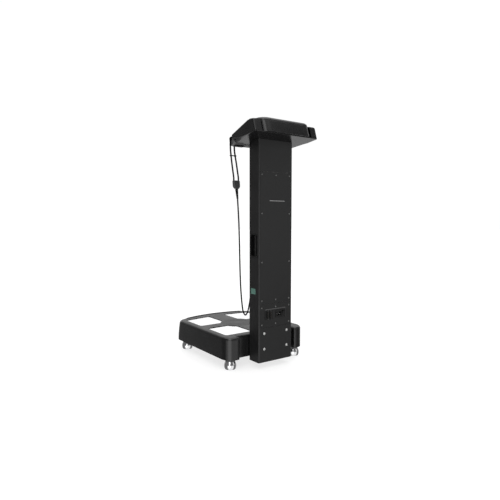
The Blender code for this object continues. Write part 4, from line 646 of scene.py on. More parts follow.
def settle(made):
    """Turn an object and its modifiers into one plain mesh."""
    graph = bpy.context.evaluated_depsgraph_get()
    mesh = bpy.data.meshes.new_from_object(
        made.evaluated_get(graph), preserve_all_data_layers=True, depsgraph=graph)
    old = made.data
    made.modifiers.clear()
    made.data = mesh
    bpy.data.meshes.remove(old)


def cut_away(made, body):
    tool = make_object("cutter", body)
    modifier = made.modifiers.new("cut", "BOOLEAN")
    modifier.operation = "DIFFERENCE"
    modifier.solver = "EXACT"
    modifier.object = tool
    settle(made)
    discard(tool)


def break_edges(made, width, segments, least):
    """Bevel the sharp edges and mark the bevels for rubbing."""
    body = bmesh.new()
    body.from_mesh(made.data)
    bmesh.ops.remove_doubles(body, verts=body.verts, dist=1e-6)
    bmesh.ops.dissolve_limit(body, angle_limit=math.radians(0.3), verts=body.verts, edges=body.edges)
    mark = body.loops.layers.float.new("edge")
    sharp = [edge for edge in body.edges if len(edge.link_faces) == 2 and edge.calc_face_angle() > least]
    result = bmesh.ops.bevel(body, geom=sharp, offset=width, offset_type="OFFSET", segments=segments,
                             profile=0.5, affect="EDGES", clamp_overlap=True)
    for face in result["faces"]:
        for corner in face.loops:
            corner[mark] = 1.0
    body.to_mesh(made.data)
    body.free()


def shade(mesh, smooth):
    mesh.shade_smooth()
    mesh.set_sharp_from_angle(angle=math.radians(smooth))


def carry(made, nodes, rides):
    """Hand a piece over to the nodes that it stands for, and to its body."""
    if nodes:
        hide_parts(*nodes)
    if rides:
        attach(made, rides)
    return made


def piece(name, body, material, node=None, rides="stand", cuts=(), bevel=None, segments=2, least=35.0,
          smooth=32.0):
    """Finish a body as one piece of the object: cut, bevelled, shaded, dressed and carried."""
    made = make_object(name, body)
    for cut in cuts:
        cut_away(made, cut)
    if bevel:
        break_edges(made, bevel, segments, math.radians(least))
    made.data.materials.clear()
    made.data.materials.append(material)
    shade(made.data, smooth)
    made.modifiers.new("normals", "WEIGHTED_NORMAL").keep_sharp = True
    settle(made)
    return carry(made, [node] if node else (), rides)


def dressed(node, material, bevel=0.0005, segments=3, rides="stand", least=35.0):
    """A piece in the shape of its node, with its edges broken."""
    return piece(f"{node}_dressed", node_body(node), material, node, rides, (), bevel, segments, least)


def refinish(material, *nodes):
    for node in nodes:
        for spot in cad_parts[node].material_slots:
            spot.material = material


def heads_tree():
    """Small parts set on the points of a mesh, tilted alike and each turned by its own angle."""
    tree = bpy.data.node_groups.new("set_small_parts", "GeometryNodeTree")
    kinds = {"Points": "Geometry", "Part": "Object", "Finish": "Material", "Tilt": "Vector",
             "Most Turn": "Float", "Seed": "Int"}
    for label, kind in kinds.items():
        tree.interface.new_socket(label, in_out="INPUT", socket_type=f"NodeSocket{kind}")
    tree.interface.new_socket("Parts", in_out="OUTPUT", socket_type="NodeSocketGeometry")
    wires = Wiring(tree)
    given = wires.add("NodeGroupInput").outputs
    shape = wires.add("GeometryNodeObjectInfo", {"Object": given["Part"]}).outputs["Geometry"]
    chance = wires.add("FunctionNodeRandomValue", data_type="FLOAT")
    for socket in chance.inputs:
        if socket.name == "Max" and socket.type == "VALUE":
            tree.links.new(given["Most Turn"], socket)
        if socket.name == "Seed":
            tree.links.new(given["Seed"], socket)
    angle = next(socket for socket in chance.outputs if socket.type == "VALUE")
    spin = wires.add("ShaderNodeCombineXYZ", {"Z": angle}).outputs[0]
    by = wires.add("FunctionNodeEulerToRotation", {0: spin}).outputs[0]
    tilt = wires.add("FunctionNodeEulerToRotation", {0: given["Tilt"]}).outputs[0]
    turn = wires.add("FunctionNodeRotateRotation", {0: tilt, 1: by}, rotation_space="LOCAL").outputs[0]
    points = wires.add("GeometryNodeMeshToPoints", {"Mesh": given["Points"]}).outputs[0]
    inputs = {"Points": points, "Instance": shape, "Rotation": turn}
    placed = wires.add("GeometryNodeInstanceOnPoints", inputs).outputs[0]
    real = wires.add("GeometryNodeRealizeInstances", {"Geometry": placed}).outputs[0]
    done = wires.add("GeometryNodeSetMaterial", {"Geometry": real, "Material": given["Finish"]}).outputs[0]
    wires.add("NodeGroupOutput", {"Parts": done})
    return tree


HEADS = heads_tree()
FACING_BACK = (-math.pi / 2, 0.0, 0.0)


def set_parts(name, spots, part, material, seed, nodes=()):
    """Repeat a small part on a list of spots on the column's back, through the geometry nodes."""
    pattern = make_object(f"{name}_part", part)
    shade(pattern.data, 32.0)
    points = bmesh.new()
    for spot in spots:
        points.verts.new(spot)
    made = make_object(name, points)
    modifier = made.modifiers.new("set", "NODES")
    modifier.node_group = HEADS
    values = {"Part": pattern, "Finish": material, "Tilt": FACING_BACK, "Most Turn": math.tau, "Seed": seed}
    for item in HEADS.interface.items_tree:
        if item.in_out == "INPUT" and item.name in values:
            modifier[item.identifier] = values[item.name]
    made.update_tag()
    settle(made)
    discard(pattern)
    carry(made, nodes, "stand")


def hexagon(radius, per_side):
    """A hexagon with extra points along its sides."""
    corners = circle((0, 0), radius, 6)
    points = []
    for (x, y), after in zip(corners, corners[1:] + corners[:1]):
        for share in [step / per_side for step in range(per_side)]:
            points.append((x + (after[0] - x) * share, y + (after[1] - y) * share))
    return points


def socket_screw(radius, height, hex_radius, hex_depth, dome):
    """A button head with a hexagon socket, standing on the XY plane."""
    rings = [place(circle((0, 0), radius * 0.9, 24), "Z", -0.0004)]
    for inset, drop in rounding(1.0, 5):
        rings.append(place(circle((0, 0), radius * (1 - dome * inset), 24), "Z", height * (1 - 0.75 * drop)))
    for level in (height, height - hex_depth):
        rings.append(place(hexagon(hex_radius, 4), "Z", level))
    return loft(rings)


def set_camera():
    """The photograph's view: from behind, on the person's right."""
    data = bpy.data.cameras.new("photo_view")
    data.sensor_width = 36.0
    data.lens = 32.58
    data.clip_end = 80.0
    view = add_object("photo_view", data)
    view.location = (1.2275, 1.7703, 0.6337)
    view.rotation_euler = (math.radians(86.441), 0.0, math.radians(144.474))
    bpy.context.scene.camera = view


def softbox(name, spot, target, size, power):
    lamp = bpy.data.lights.new(name, "AREA")
    lamp.shape = "RECTANGLE"
    lamp.size, lamp.size_y = size
    lamp.energy = power
    made = add_object(name, lamp)
    made.location = spot
    made.rotation_euler = (Vector(target) - Vector(spot)).to_track_quat("-Z", "Y").to_euler()


def set_room():
    """A white backdrop behind the object, and a dim room on the other side with a few bright patches."""
    world = bpy.data.worlds.new("studio")
    world.use_nodes = True
    wires = Wiring(world.node_tree)
    way = wires.add("ShaderNodeTexCoord").outputs["Generated"]
    height = wires.add("ShaderNodeSeparateXYZ", {0: way}).outputs["Z"]

    def patch(direction, start, full, brightness):
        facing = wires.add("ShaderNodeVectorMath", {0: way, 1: direction}, operation="DOT_PRODUCT")
        return wires.spread(facing.outputs["Value"], start, full, 0.0, brightness)

    backdrop = patch(TO_BACKDROP, 0.40, 0.92, ROOM_BRIGHT)
    light = wires.times(backdrop, wires.spread(height, -0.15, 0.25, 0.52, 1.0))
    ground = patch(TO_FRONT, 0.45, 0.62, ROOM_FRONT)
    for part in (
        wires.spread(height, 0.65, 0.95, ROOM_DIM, ROOM_SKY),
        wires.times(ground, wires.spread(height, 0.02, -0.14)),
        patch(TO_GLINT, 0.93, 0.985, ROOM_GLINT),
        patch(TO_EDGE_LAMP, 0.960, 0.995, ROOM_EDGE),
    ):
        light = wires.plus(light, part)
    seen = wires.add("ShaderNodeLightPath").outputs["Is Camera Ray"]
    strength = wires.add("ShaderNodeMix", {0: seen, 2: light, 3: ROOM_SEEN}).outputs[0]
    wires.feed(world.node_tree.nodes["Background"], {"Color": (1.0, 1.0, 1.0, 1.0), "Strength": strength})
    bpy.context.scene.world = world
    bpy.context.scene.view_settings.view_transform = "Standard"


def set_studio():
    """The room, its soft lamps and a pale floor."""
    set_room()
    lamp = bpy.data.lights.new("overhead", "SUN")
    lamp.energy = 0.5
    lamp.angle = math.radians(70)
    add_object("overhead", lamp).rotation_euler = (math.radians(-14), math.radians(-10), 0.0)
    softbox("by_camera", (1.95, 1.95, 1.0), (0.1, 0.2, 0.5), (1.1, 1.8), 9.0)
    softbox("back_fill", (-1.9, 2.8, 1.2), (0.0, 0.2, 0.6), (1.4, 2.4), 6.0)
    body = bmesh.new()
    bmesh.ops.create_grid(body, x_segments=2, y_segments=2, size=30.0)
    floor = make_object("studio_floor", body)
    made, wires, shader = blank_finish("studio_floor")
    tone = wires.spread(wires.noise(wires.where(), 1.5, 2.0), 0.3, 0.7)
    wires.feed(shader, {
        "Base Color": wires.tint(tone, *greys(0.27, 0.28)), "Emission Color": (1.0, 1.0, 1.0, 1.0),
        "Emission Strength": 0.76, "Roughness": 0.6, "Specular IOR Level": 0.2,
    })
    floor.data.materials.append(made)
    floor.visible_glossy = False


def smooth_path(points, spacing):
    """Evenly spaced points on a smooth curve through a route's own points."""
    route = [Vector(point) for point in points]
    padded = [2 * route[0] - route[1]] + route + [2 * route[-1] - route[-2]]
    per_stretch = 24
    fine = []
    for index in range(len(route) - 1):
        a, b, c, d = padded[index:index + 4]
        for step in range(per_stretch):
            t = step / per_stretch
            fine.append(0.5 * (
                2 * b + (c - a) * t + (2 * a - 5 * b + 4 * c - d) * t ** 2 + (3 * b - a - 3 * c + d) * t ** 3
            ))
    fine.append(route[-1])
    lengths = [0.0]
    for before, after in zip(fine, fine[1:]):
        lengths.append(lengths[-1] + (after - before).length)
    count = max(round(lengths[-1] / spacing), 2)
    chosen = []
    index = 0
    for step in range(count + 1):
        target = lengths[-1] * step / count
        while index < len(fine) - 2 and lengths[index + 1] < target:
            index += 1
        share = (target - lengths[index]) / (lengths[index + 1] - lengths[index])
        chosen.append(fine[index].lerp(fine[index + 1], share))
    return chosen


def swept(path, radii, sides):
    """A round body along a path, with a radius at each point."""
    rings = []
    tangent = (path[1] - path[0]).normalized()
    across = tangent.orthogonal().normalized()
    for index, point in enumerate(path):
        ahead = (path[min(index + 1, len(path) - 1)] - path[max(index - 1, 0)]).normalized()
        across = tangent.rotation_difference(ahead) @ across
        tangent = ahead
        up = tangent.cross(across)
        rings.append([point + across * x + up * y for x, y in circle((0, 0), radii[index], sides)])
    return loft(rings)


def lead_junction():
    """Flat moulding that joins the two leads, rounded above and drawn in below."""
    rings = []
    for share, width, thick in JUNCTION_RINGS:
        centre = JUNCTION_TOP - (JUNCTION_TOP - JUNCTION_BOTTOM) * share
        half = JUNCTION_HALF[0] * width
        deep = JUNCTION_HALF[1] * thick
        outline = rectangle((-half, half), (-deep, deep), deep * 0.7, 6)
        rings.append([(centre.x + x, centre.y + y, centre.z) for x, y in outline])
    return piece("lead_junction_body", loft(rings), JUNCTION_PLASTIC, "lead_junction_right", "right_grip",
                 smooth=40.0)


def cord_relief():
    """Tapered relief below the junction, with grooves between its ribs."""
    top = JUNCTION_BOTTOM - Vector((0, 0, TOUCH))
    bottom = Vector(CORD_ROUTE[0]) + Vector((0, 0, TOUCH))
    count = 66
    wide, slim = RELIEF_RADII
    path = []
    radii = []
    for step in range(count + 1):
        groove = RELIEF_GROOVE if 6 < step < 62 and step % 6 in (0, 1) else 0.0
        path.append(top.lerp(bottom, step / count))
        radii.append(wide + (slim - wide) * step / count - groove)
    return piece("cord_relief_ribs", swept(path, radii, 28), CORD_RUBBER, "cord_relief_right", "right_grip",
                 smooth=50.0)


def lead_boot():
    """Elbow from the grip's end down to the palm lead, grooved below its turn."""
    turn = reversed(rounding(BOOT_TURN, 12))
    path = [Vector((BOOT_START + BOOT_TURN - inset, GRIP_Y, BOOT_Z - drop)) for inset, drop in turn]
    path += [path[-1] - Vector((0, 0, BOOT_DROP * step / 14)) for step in range(1, 15)]
    wide, slim = BOOT_RADII
    radii = []
    for step in range(len(path)):
        groove = BOOT_GROOVE if step > 13 and step % 4 == 0 else 0.0
        radii.append(wide - (wide - slim) * step / (len(path) - 1) - groove)
    return piece("lead_boot_elbow", swept(path, radii, 28), CORD_RUBBER, "lead_boot_right", "right_grip",
                 smooth=50.0)


def run_cord(name, node, points, diameter, mesh, rides):
    """A cord along its route, from where it leaves the column or the junction."""
    route = smooth_path(points[::-1], mesh[0])
    tube = swept(route, [diameter / 2] * len(route), mesh[1])
    run = piece(name, tube, CORD_RUBBER, node, rides, smooth=60.0)
    if not rides:
        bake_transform(run)


def lay_cords():
    """The hand cord from the column's gland, its relief and junction, and the two leads up to the grip."""
    junction = lead_junction()
    relief = cord_relief()
    boot = lead_boot()
    clip = dressed("lead_clip_right", CORD_RUBBER, 0.0004, 2, "right_grip", 50.0)
    run_cord("hand_cord_run", "hand_cord_right", CORD_ROUTE, CORD_DIAMETER, CORD_MESH, None)
    for lead, points, parts in (("palm", PALM_LEAD_ROUTE, [boot, clip]), ("thumb", THUMB_LEAD_ROUTE, [])):
        run_cord(f"{lead}_lead_run", f"{lead}_lead_right", points, LEAD_DIAMETER, LEAD_MESH, "right_grip")


def lean_at(z):
    """How far the base's front stands back at a height."""
    share = max(z - BASE_BOTTOM, 0.0) / (BASE_TOP - BASE_BOTTOM)
    return BASE_LEAN * (1 - math.cos(min(share, 1.0) * math.pi / 2))


def base_ring(z, inset):
    """The base's section at a height, with the notch that takes the column, drawn in by an inset."""
    bow_radius = (BASE_HALF ** 2 + BASE_BOW ** 2) / (2 * BASE_BOW)
    bow_centre = (0.0, BASE_FRONT + lean_at(z) + bow_radius)
    front_x = BASE_HALF - BASE_CORNER
    front_y = bow_centre[1] - math.sqrt((bow_radius - BASE_CORNER) ** 2 - front_x ** 2)
    bow_angle = math.atan2(front_y - bow_centre[1], front_x)
    lip = max(NOTCH_ROUND, inset)
    points = [(NOTCH_HALF + inset, COLUMN_FRONT - LOOSE - inset)]
    points += arc((NOTCH_HALF + lip, BASE_BACK - lip), lip - inset, math.pi, math.pi / 2, 5)
    points += arc((front_x, BASE_BACK - BASE_CORNER), BASE_CORNER - inset, math.pi / 2, 0, 20)
    points += arc((front_x, front_y), BASE_CORNER - inset, 0, bow_angle, 16)
    points += arc(bow_centre, bow_radius - inset, bow_angle, -math.pi / 2, 28)[1:]
    return place(points + [(-x, y) for x, y in reversed(points[:-1])], "Z", z)


def lip_ring(inset, height):
    """A ring on the platform's top that rises along the bowed front only."""
    ring = []
    for x, y, z in base_ring(BASE_TOP, inset):
        share = min(max((LIP_HALF - abs(x)) / LIP_RUN, 0.0), 1.0) if y < PAD_Y else 0.0
        ring.append((x, y, z + height * share * share * (3 - 2 * share)))
    return ring


def electrode_outline(far_inner, far_outer, side, towards, grow=0.0):
    """One foot electrode in plan: a rounded quad whose inner corner is trimmed by a ring."""
    ring = ELECTRODE_RING - grow
    inner = ELECTRODE_INNER - grow
    outer = ELECTRODE_OUTER + grow
    low = ELECTRODE_NEAR - grow
    start = math.asin(low / ring)
    end = math.acos(inner / ring)
    radius = ELECTRODE_CORNER + grow
    corners = [(outer, low, radius), (outer, far_outer + grow, radius), (inner, far_inner + grow, radius)]
    corners += [(x, y, 0.0) for x, y in arc((0, 0), ring, end, start, 18)]
    return [(side * x, PAD_Y + towards * y) for x, y in rounded_outline(corners, 10)]


def electrode_shapes():
    """What each foot electrode's outline needs: its two far ends, its side and its direction."""
    toe = COLUMN_FRONT - TOE_MARGIN - PAD_Y
    heel = PAD_Y - BASE_FRONT - HEEL_MARGIN
    shapes = {}
    for side, hand in ((-1, "left"), (1, "right")):
        shapes[f"toe_electrode_{hand}"] = (toe, toe, side, 1)
        shapes[f"heel_electrode_{hand}"] = (heel, heel - HEEL_SLANT, side, -1)
    return shapes


def build_platform():
    """Platform shell with its pockets, the four electrodes and the centre pad."""
    hem = BASE_BOTTOM + BASE_HEM
    levels = [hem + (BASE_TOP - BASE_EDGE - hem) * step / 12 for step in range(12)]
    rings = [base_ring(BASE_TOP - BASE_TOP_WALL, BASE_WALL)]
    rings += [base_ring(z, BASE_WALL) for z in reversed(levels)]
    rings.append(base_ring(BASE_BOTTOM, BASE_WALL - BASE_HEM))
    rings.append(base_ring(BASE_BOTTOM, BASE_HEM))
    rings.append(base_ring(BASE_BOTTOM + BASE_HEM * 0.3, BASE_HEM * 0.3))
    rings += [base_ring(z, 0.0) for z in levels]
    rings += [base_ring(BASE_TOP - drop, inset) for inset, drop in rounding(BASE_EDGE, 12)]
    for inset, share in LIP_PROFILE:
        rings.append(lip_ring(BASE_EDGE + inset, LIP_HEIGHT * share))
    above = BASE_TOP + PAST
    pockets = [prism(circle((0, PAD_Y), PAD_RADIUS + POCKET_GAP, 96), "Z", PAD_FLOOR - TOUCH, above)]
    for shape in electrode_shapes().values():
        pockets.append(prism(electrode_outline(*shape, POCKET_GAP), "Z", ELECTRODE_FLOOR - TOUCH, above))
    holes = []
    for side in (-1, 1):
        hole = circle((side * BOLT_X, BOLT_HEIGHTS[0]), BOLT_HOLE, 24)
        holes.append(prism(hole, "Y", COLUMN_FRONT - 2 * PAST, COLUMN_FRONT + PAST))
    piece("platform_shell", loft(rings), BASE_PLASTIC, "base_shell", cuts=(gather(pockets), gather(holes)),
          bevel=0.0005, segments=3, least=70.0)
    for name, shape in electrode_shapes().items():
        rings = [place(electrode_outline(*shape), "Z", ELECTRODE_FLOOR)]
        for inset, drop in rounding(ELECTRODE_EDGE, 4):
            rings.append(place(electrode_outline(*shape, -inset), "Z", ELECTRODE_TOP - drop))
        piece(f"{name}_plate", loft(rings), BRIGHT_STEEL, name, smooth=40.0)
    profile = [(PAD_RADIUS, PAD_FLOOR), (PAD_RADIUS, PAD_TOP - 0.0004), (PAD_RADIUS - 0.0004, PAD_TOP)]
    for radius in PAD_GROOVES:
        for across, drop in ((0.0012, 0.0), (0.0006, GROOVE_DEPTH), (-0.0006, GROOVE_DEPTH), (-0.0012, 0.0)):
            profile.append((radius + across, PAD_TOP - drop))
    piece("centre_pad_rings", turned(profile, (0, PAD_Y, 0), (0, 0, 1), 96), PAD_PLASTIC, "centre_pad",
          smooth=25.0)


def foot_profile(stud_top):
    """Chromed foot from its sole up: belly, shoulder and threaded stud."""
    profile = [(0.010, SOLE_THICKNESS)]
    for step in range(15):
        z = SOLE_THICKNESS + (FOOT_TOP - SHOULDER_EDGE - SOLE_THICKNESS) * step / 14
        end, run = (FOOT_SOLE, FOOT_WIDEST) if z < FOOT_WIDEST else (FOOT_SHOULDER, FOOT_TOP - FOOT_WIDEST)
        profile.append((FOOT_RADIUS - (FOOT_RADIUS - end) * ((z - FOOT_WIDEST) / run) ** 2, z))
    level = FOOT_TOP + 0.0004
    profile += [(FOOT_SHOULDER - SHOULDER_EDGE, FOOT_TOP), (0.0075, FOOT_TOP), (STUD_RADIUS, level)]
    while level < THREAD_END:
        profile += [(STUD_ROOT, level + 0.0004), (STUD_ROOT, level + 0.0006), (STUD_RADIUS, level + 0.0010)]
        level += THREAD_PITCH
    return profile + [(STUD_RADIUS, stud_top)]


def build_feet():
    """Levelling feet: rubber sole, chromed pad and body, threaded stud and lock nut."""
    rim = FOOT_SOLE - 0.0004
    sole = eased(((SOLE_BORE, 0.0003), (FOOT_SOLE - 0.0010, 0.0), (rim, 0.0005), (rim, SOLE_THICKNESS),
                  (SOLE_BORE, SOLE_THICKNESS)), 0.0003, 3)
    for name in ("front_left", "front_right", "rear_left", "rear_right"):
        node = f"levelling_foot_{name}"
        rides = f"foot_{name}"
        low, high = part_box(node)
        spot = ((low[0] + high[0]) / 2, (low[1] + high[1]) / 2, 0.0)
        chrome = turned(foot_profile(high[2]), spot, (0, 0, 1), 72)
        piece(f"{node}_chrome", chrome, CHROME, node, rides, smooth=28.0)
        piece(f"{node}_sole", turned(sole, spot, (0, 0, 1), 72), SOLE_RUBBER, None, rides)
        rings = []
        for radius, z in NUT_PROFILE:
            rings.append([(spot[0] + x, spot[1] + y, z) for x, y in hexagon(radius, 4)])
        piece(f"{node}_nut", loft(rings), ZINC, None, rides, smooth=20.0)


def column_top_at(y):
    """Height of the column's sloped top."""
    return COLUMN_TOP + UNDERSLOPE * (y - COLUMN_BACK)


def cup_outline(grow):
    """Hand hole in the column's side, as (y, z)."""
    return rectangle((CUP_Y - CUP_HALF, CUP_Y + CUP_HALF), (CUP_LOW, CUP_HIGH), CUP_CORNER + grow, grow=grow)


def build_column():
    """Column tube, back cover and socket panel, with their bolts and screws."""
    rings = []
    for inset in (0.0, COLUMN_WALL):
        outline = rectangle((-COLUMN_HALF, COLUMN_HALF), (COLUMN_FRONT, COLUMN_BACK), COLUMN_CORNER - inset,
                            10, -inset)
        low = [(x, y, COLUMN_BOTTOM) for x, y in outline]
        high = [(x, y, column_top_at(y)) for x, y in outline]
        rings += [high, low] if inset else [low, high]
    through_back = (COLUMN_BACK - COLUMN_WALL - PAST, COLUMN_BACK + PAST)
    through_front = (COLUMN_FRONT - PAST, COLUMN_FRONT + COLUMN_WALL + PAST)
    cuts = [box((-COVER_HALF, COVER_HALF), through_back, (COVER_BOTTOM, COVER_TOP))]
    for side in (-1, 1):
        faces = sorted((side * (COLUMN_HALF + PAST), side * (COLUMN_HALF - COLUMN_WALL - PAST)))
        cuts.append(prism(cup_outline(LOOSE), "X", *faces))
        cuts.append(prism(circle((side * GLAND_X, GLAND_Z), GLAND_HOLE, 24), "Y", *through_front))
        low, high = [circle((side * BOLT_X, z), BOLT_HOLE, 24) for z in BOLT_HEIGHTS]
        for hole, through in ((low, through_front), (low, through_back), (high, through_back)):
            cuts.append(prism(hole, "Y", *through))
    piece("column_tube", loft(rings, closed=True), COLUMN_PAINT, "column_shell", cuts=(gather(cuts),),
          bevel=0.0003, least=60.0)
    dressed("upper_back_cover", COLUMN_PAINT)
    dressed("socket_panel", COLUMN_PAINT)
    spots = []
    for z, count in SCREW_ROWS:
        for x in ((-SCREW_X, 0.0, SCREW_X) if count == 3 else (-SCREW_X, SCREW_X)):
            spots.append((x, COLUMN_BACK, z))
    set_parts("cover_screws", spots, socket_screw(*COVER_SCREW), SCREW_STEEL, 4)
    spots = [(side * BOLT_X, COLUMN_BACK, z) for z in BOLT_HEIGHTS for side in (-1, 1)]
    nodes = [f"column_bolt_{level}_{hand}" for level in ("lower", "upper") for hand in ("left", "right")]
    set_parts("column_bolts", spots, socket_screw(*COLUMN_BOLT), ZINC, 7, nodes)


def gland_profile():
    """Cord gland from inside the column out: nut, neck, flange and a ribbed, tapered sleeve."""
    profile = [(0.0090, 0.0073), (0.0090, 0.0023), (0.0060, 0.0023), (0.0060, -TOUCH), (0.0100, -TOUCH),
               (0.0100, -0.0048), (0.0094, -0.0054), (0.0064, -0.0058)]
    for rib in range(5):
        along = -0.0066 - 0.0017 * rib
        radius = 0.0062 - 0.00038 * rib
        root = radius - 0.0007
        profile += [(radius, along), (radius, along - 0.0008), (root, along - 0.0010), (root, along - 0.0015)]
    return profile + [(0.0044, -0.0150), (0.0042, -0.0153), (0.0027, -0.0153)]


def build_cups_and_glands():
    """Hand cups in the column's sides, and the cord glands in its front."""
    face = COLUMN_HALF + TOUCH
    rim = face + CUP_RIM
    floor = COLUMN_HALF - CUP_DEPTH
    steps = [(-0.003, floor), (-0.0008, floor + 0.0005), (0.0, floor + 0.003), (0.0, face),
             (CUP_FLANGE, face), (CUP_FLANGE, face + 0.0006), (CUP_FLANGE - 0.0003, rim - 0.0003),
             (CUP_FLANGE - 0.0010, rim), (-0.0004, rim), (-0.0013, rim - 0.0004), (-0.0019, rim - 0.0012),
             (-CUP_WALL, face - 0.0012), (-CUP_WALL, floor + 0.0075), (-CUP_WALL - 0.0008, floor + 0.0045),
             (-CUP_WALL - 0.0024, floor + 0.0027), (-CUP_WALL - 0.005, floor + CUP_WALL)]
    profile = gland_profile()
    for hand, side in (("left", -1), ("right", 1)):
        rings = [place(cup_outline(grow), "X", side * x) for grow, x in steps]
        piece(f"hand_cup_{hand}_moulding", loft(rings), SOCKET_PLASTIC, f"hand_cup_{hand}", smooth=45.0)
        gland = turned(profile, (side * GLAND_X, COLUMN_FRONT, GLAND_Z), (0, 1, 0), 40)
        piece(f"cord_gland_{hand}_turned", gland, SOCKET_PLASTIC, f"cord_gland_{hand}", smooth=30.0)


def build_sockets():
    """Mains inlet with its pins, the rocker, the data ports with their pins, and the rim above them."""
    dressed("power_inlet", SOCKET_PLASTIC, 0.0006)
    pins = []
    for x, z in INLET_PINS:
        middles = (MOUTH_X + x, SOCKET_Z + z)
        sides = [(middle - half, middle + half) for middle, half in zip(middles, INLET_PIN_HALF)]
        pins.append(prism(rectangle(*sides, INLET_PIN_ROUND, 3), "Y", *INLET_PIN_ENDS))
    piece("inlet_pins", gather(pins), ZINC, bevel=0.0003, least=50.0)
    dressed("power_rocker", SOCKET_PLASTIC, rides="rocker", least=20.0)
    dressed("data_ports", SOCKET_PLASTIC, segments=2)
    ports = [PORTS_X + side * PORT_PITCH / 2 for side in (-1, 1)]
    spots = []
    for port in ports:
        for column, count in PORT_ROWS:
            for row in range(count):
                z = SOCKET_Z + (row - (count - 1) / 2) * PORT_PIN_PITCH
                spots.append((port + column, PORT_PIN_Y, z))
    profile = ((0.0004, -0.002), (0.0005, 0.0004), (0.00045, 0.0009), (0.0002, 0.0011))
    set_parts("port_pins", spots, turned(profile, (0, 0, 0), (0, 0, 1), 8), GOLD_PIN, 2)
    spots = [(port, JACK_SCREW_Y, SOCKET_Z + end * JACK_SCREW_REACH) for port in ports for end in (-1, 1)]
    profile = ((0.0022, -0.0004), (0.0022, 0.0036), (0.0019, 0.0040), (0.0010, 0.0040), (0.0010, 0.0012))
    screw = loft([place(hexagon(radius, 3), "Z", z) for radius, z in profile])
    set_parts("port_jack_screws", spots, screw, SCREW_STEEL, 5)
    # Rim above the sockets, its lighter grey a painted highlight of its lit edges.
    rim = prism(rectangle(*RIM_OUTER, RIM_CORNERS[0]), "Y", *RIM_FACES)
    window = prism(rectangle(*RIM_INNER, RIM_CORNERS[1]), "Y", COLUMN_BACK - PAST, COLUMN_BACK + PAST)
    piece("socket_rim", rim, RIM_PAINTED_HIGHLIGHT, cuts=(window,), bevel=0.0005, segments=3, least=50.0)


def underside_at(y):
    return column_top_at(y) + TOUCH


HEAD_LOW = underside_at(HEAD_BACK) + HEAD_WALL + TOUCH


def back_lean(z):
    """How far the head's back stands forward at a height."""
    return HEAD_LEAN * max(z - HEAD_LOW, 0.0) / (RIDGE_Z - HEAD_LOW)


def leaned(ring):
    """A section of the head, leaning forward the more the nearer it is to the back."""
    points = []
    for x, y, z in ring:
        share = max(y - SLOPE_Y, 0.0) / (HEAD_BACK - SLOPE_Y)
        points.append((x, y - back_lean(z) * share, z))
    return points


def head_half_at(y):
    """Half of the head's width, drawn in where the back corners are rounded."""
    into = max(y - HEAD_BACK + BACK_ROUND, 0.0)
    return HEAD_HALF - BACK_ROUND + math.sqrt(max(BACK_ROUND ** 2 - into ** 2, 0.0))


def underside_points(y, lift):
    """Right half of the underside section, raised by a lift: rim, then the edge of its bevel."""
    share = min(max((BEVEL_START - y) / (BEVEL_START - HEAD_FRONT), 0.0), 1.0)
    rim = underside_at(y) + BEVEL_RISE[0] + BEVEL_RISE[1] * share ** 1.5
    half = head_half_at(y)
    return [(half, rim + lift), (half - BEVEL_RUN[0] - BEVEL_RUN[1] * share, underside_at(y) + lift)]


def head_top_at(y):
    """Height of the head's top: back round, ridge, then the display slope."""
    if y > HEAD_BACK - BACK_STEP:
        return RIDGE_Z - BACK_DROP + (HEAD_BACK - y) / BACK_STEP * BACK_DROP / 2
    if y > RIDGE_Y:
        share = (HEAD_BACK - BACK_STEP - y) / (HEAD_BACK - BACK_STEP - RIDGE_Y)
        return RIDGE_Z - BACK_DROP / 2 * (1 - share)
    if y > SLOPE_Y:
        return RIDGE_Z - (RIDGE_Y - y) / (RIDGE_Y - SLOPE_Y) * SLOPE_DROP
    return RIDGE_Z - SLOPE_DROP - (SLOPE_Y - y) * math.tan(DISPLAY_PITCH)


def head_section(y, inset, lift):
    """Section of the upper shell: underside seam, end faces and rounded top."""
    rim, edge = [(x - inset, z) for x, z in underside_points(y, lift)]
    centre = (head_half_at(y) - inset - HEAD_ROUND, head_top_at(y) - inset - HEAD_ROUND)
    right = [edge, rim] + arc(centre, HEAD_ROUND, 0, math.pi / 2, 10)
    return leaned(place(right + [(-x, z) for x, z in reversed(right)], "Y", y))


def slope_box(margin, low, high, radius=0.0):
    """A block on the display slope, the glass's size and a margin, with its corners rounded in plan."""
    sides = [(-(size + margin) / 2, (size + margin) / 2) for size in GLASS_SIZE]
    body = prism(rectangle(*sides, radius, 6), "Z", low, high)
    spot = Matrix.Translation((0.0, DISPLAY_Y, head_top_at(DISPLAY_Y)))
    bmesh.ops.transform(body, matrix=spot @ Matrix.Rotation(DISPLAY_PITCH, 4, "X"), verts=body.verts)
    return body


def rear_ring(z, inset):
    """The rear cover's section at a height, drawn in by an inset."""
    back = HEAD_BACK + REAR_BULGE - back_lean(z) - inset
    half = REAR_HALF - inset
    radius = REAR_CORNER - inset
    front = HEAD_BACK - REAR_LAP
    corners = ((half, front, 0.0), (half, back, radius), (-half, back, radius), (-half, front, 0.0))
    return place(rounded_outline(corners, 14), "Z", z)


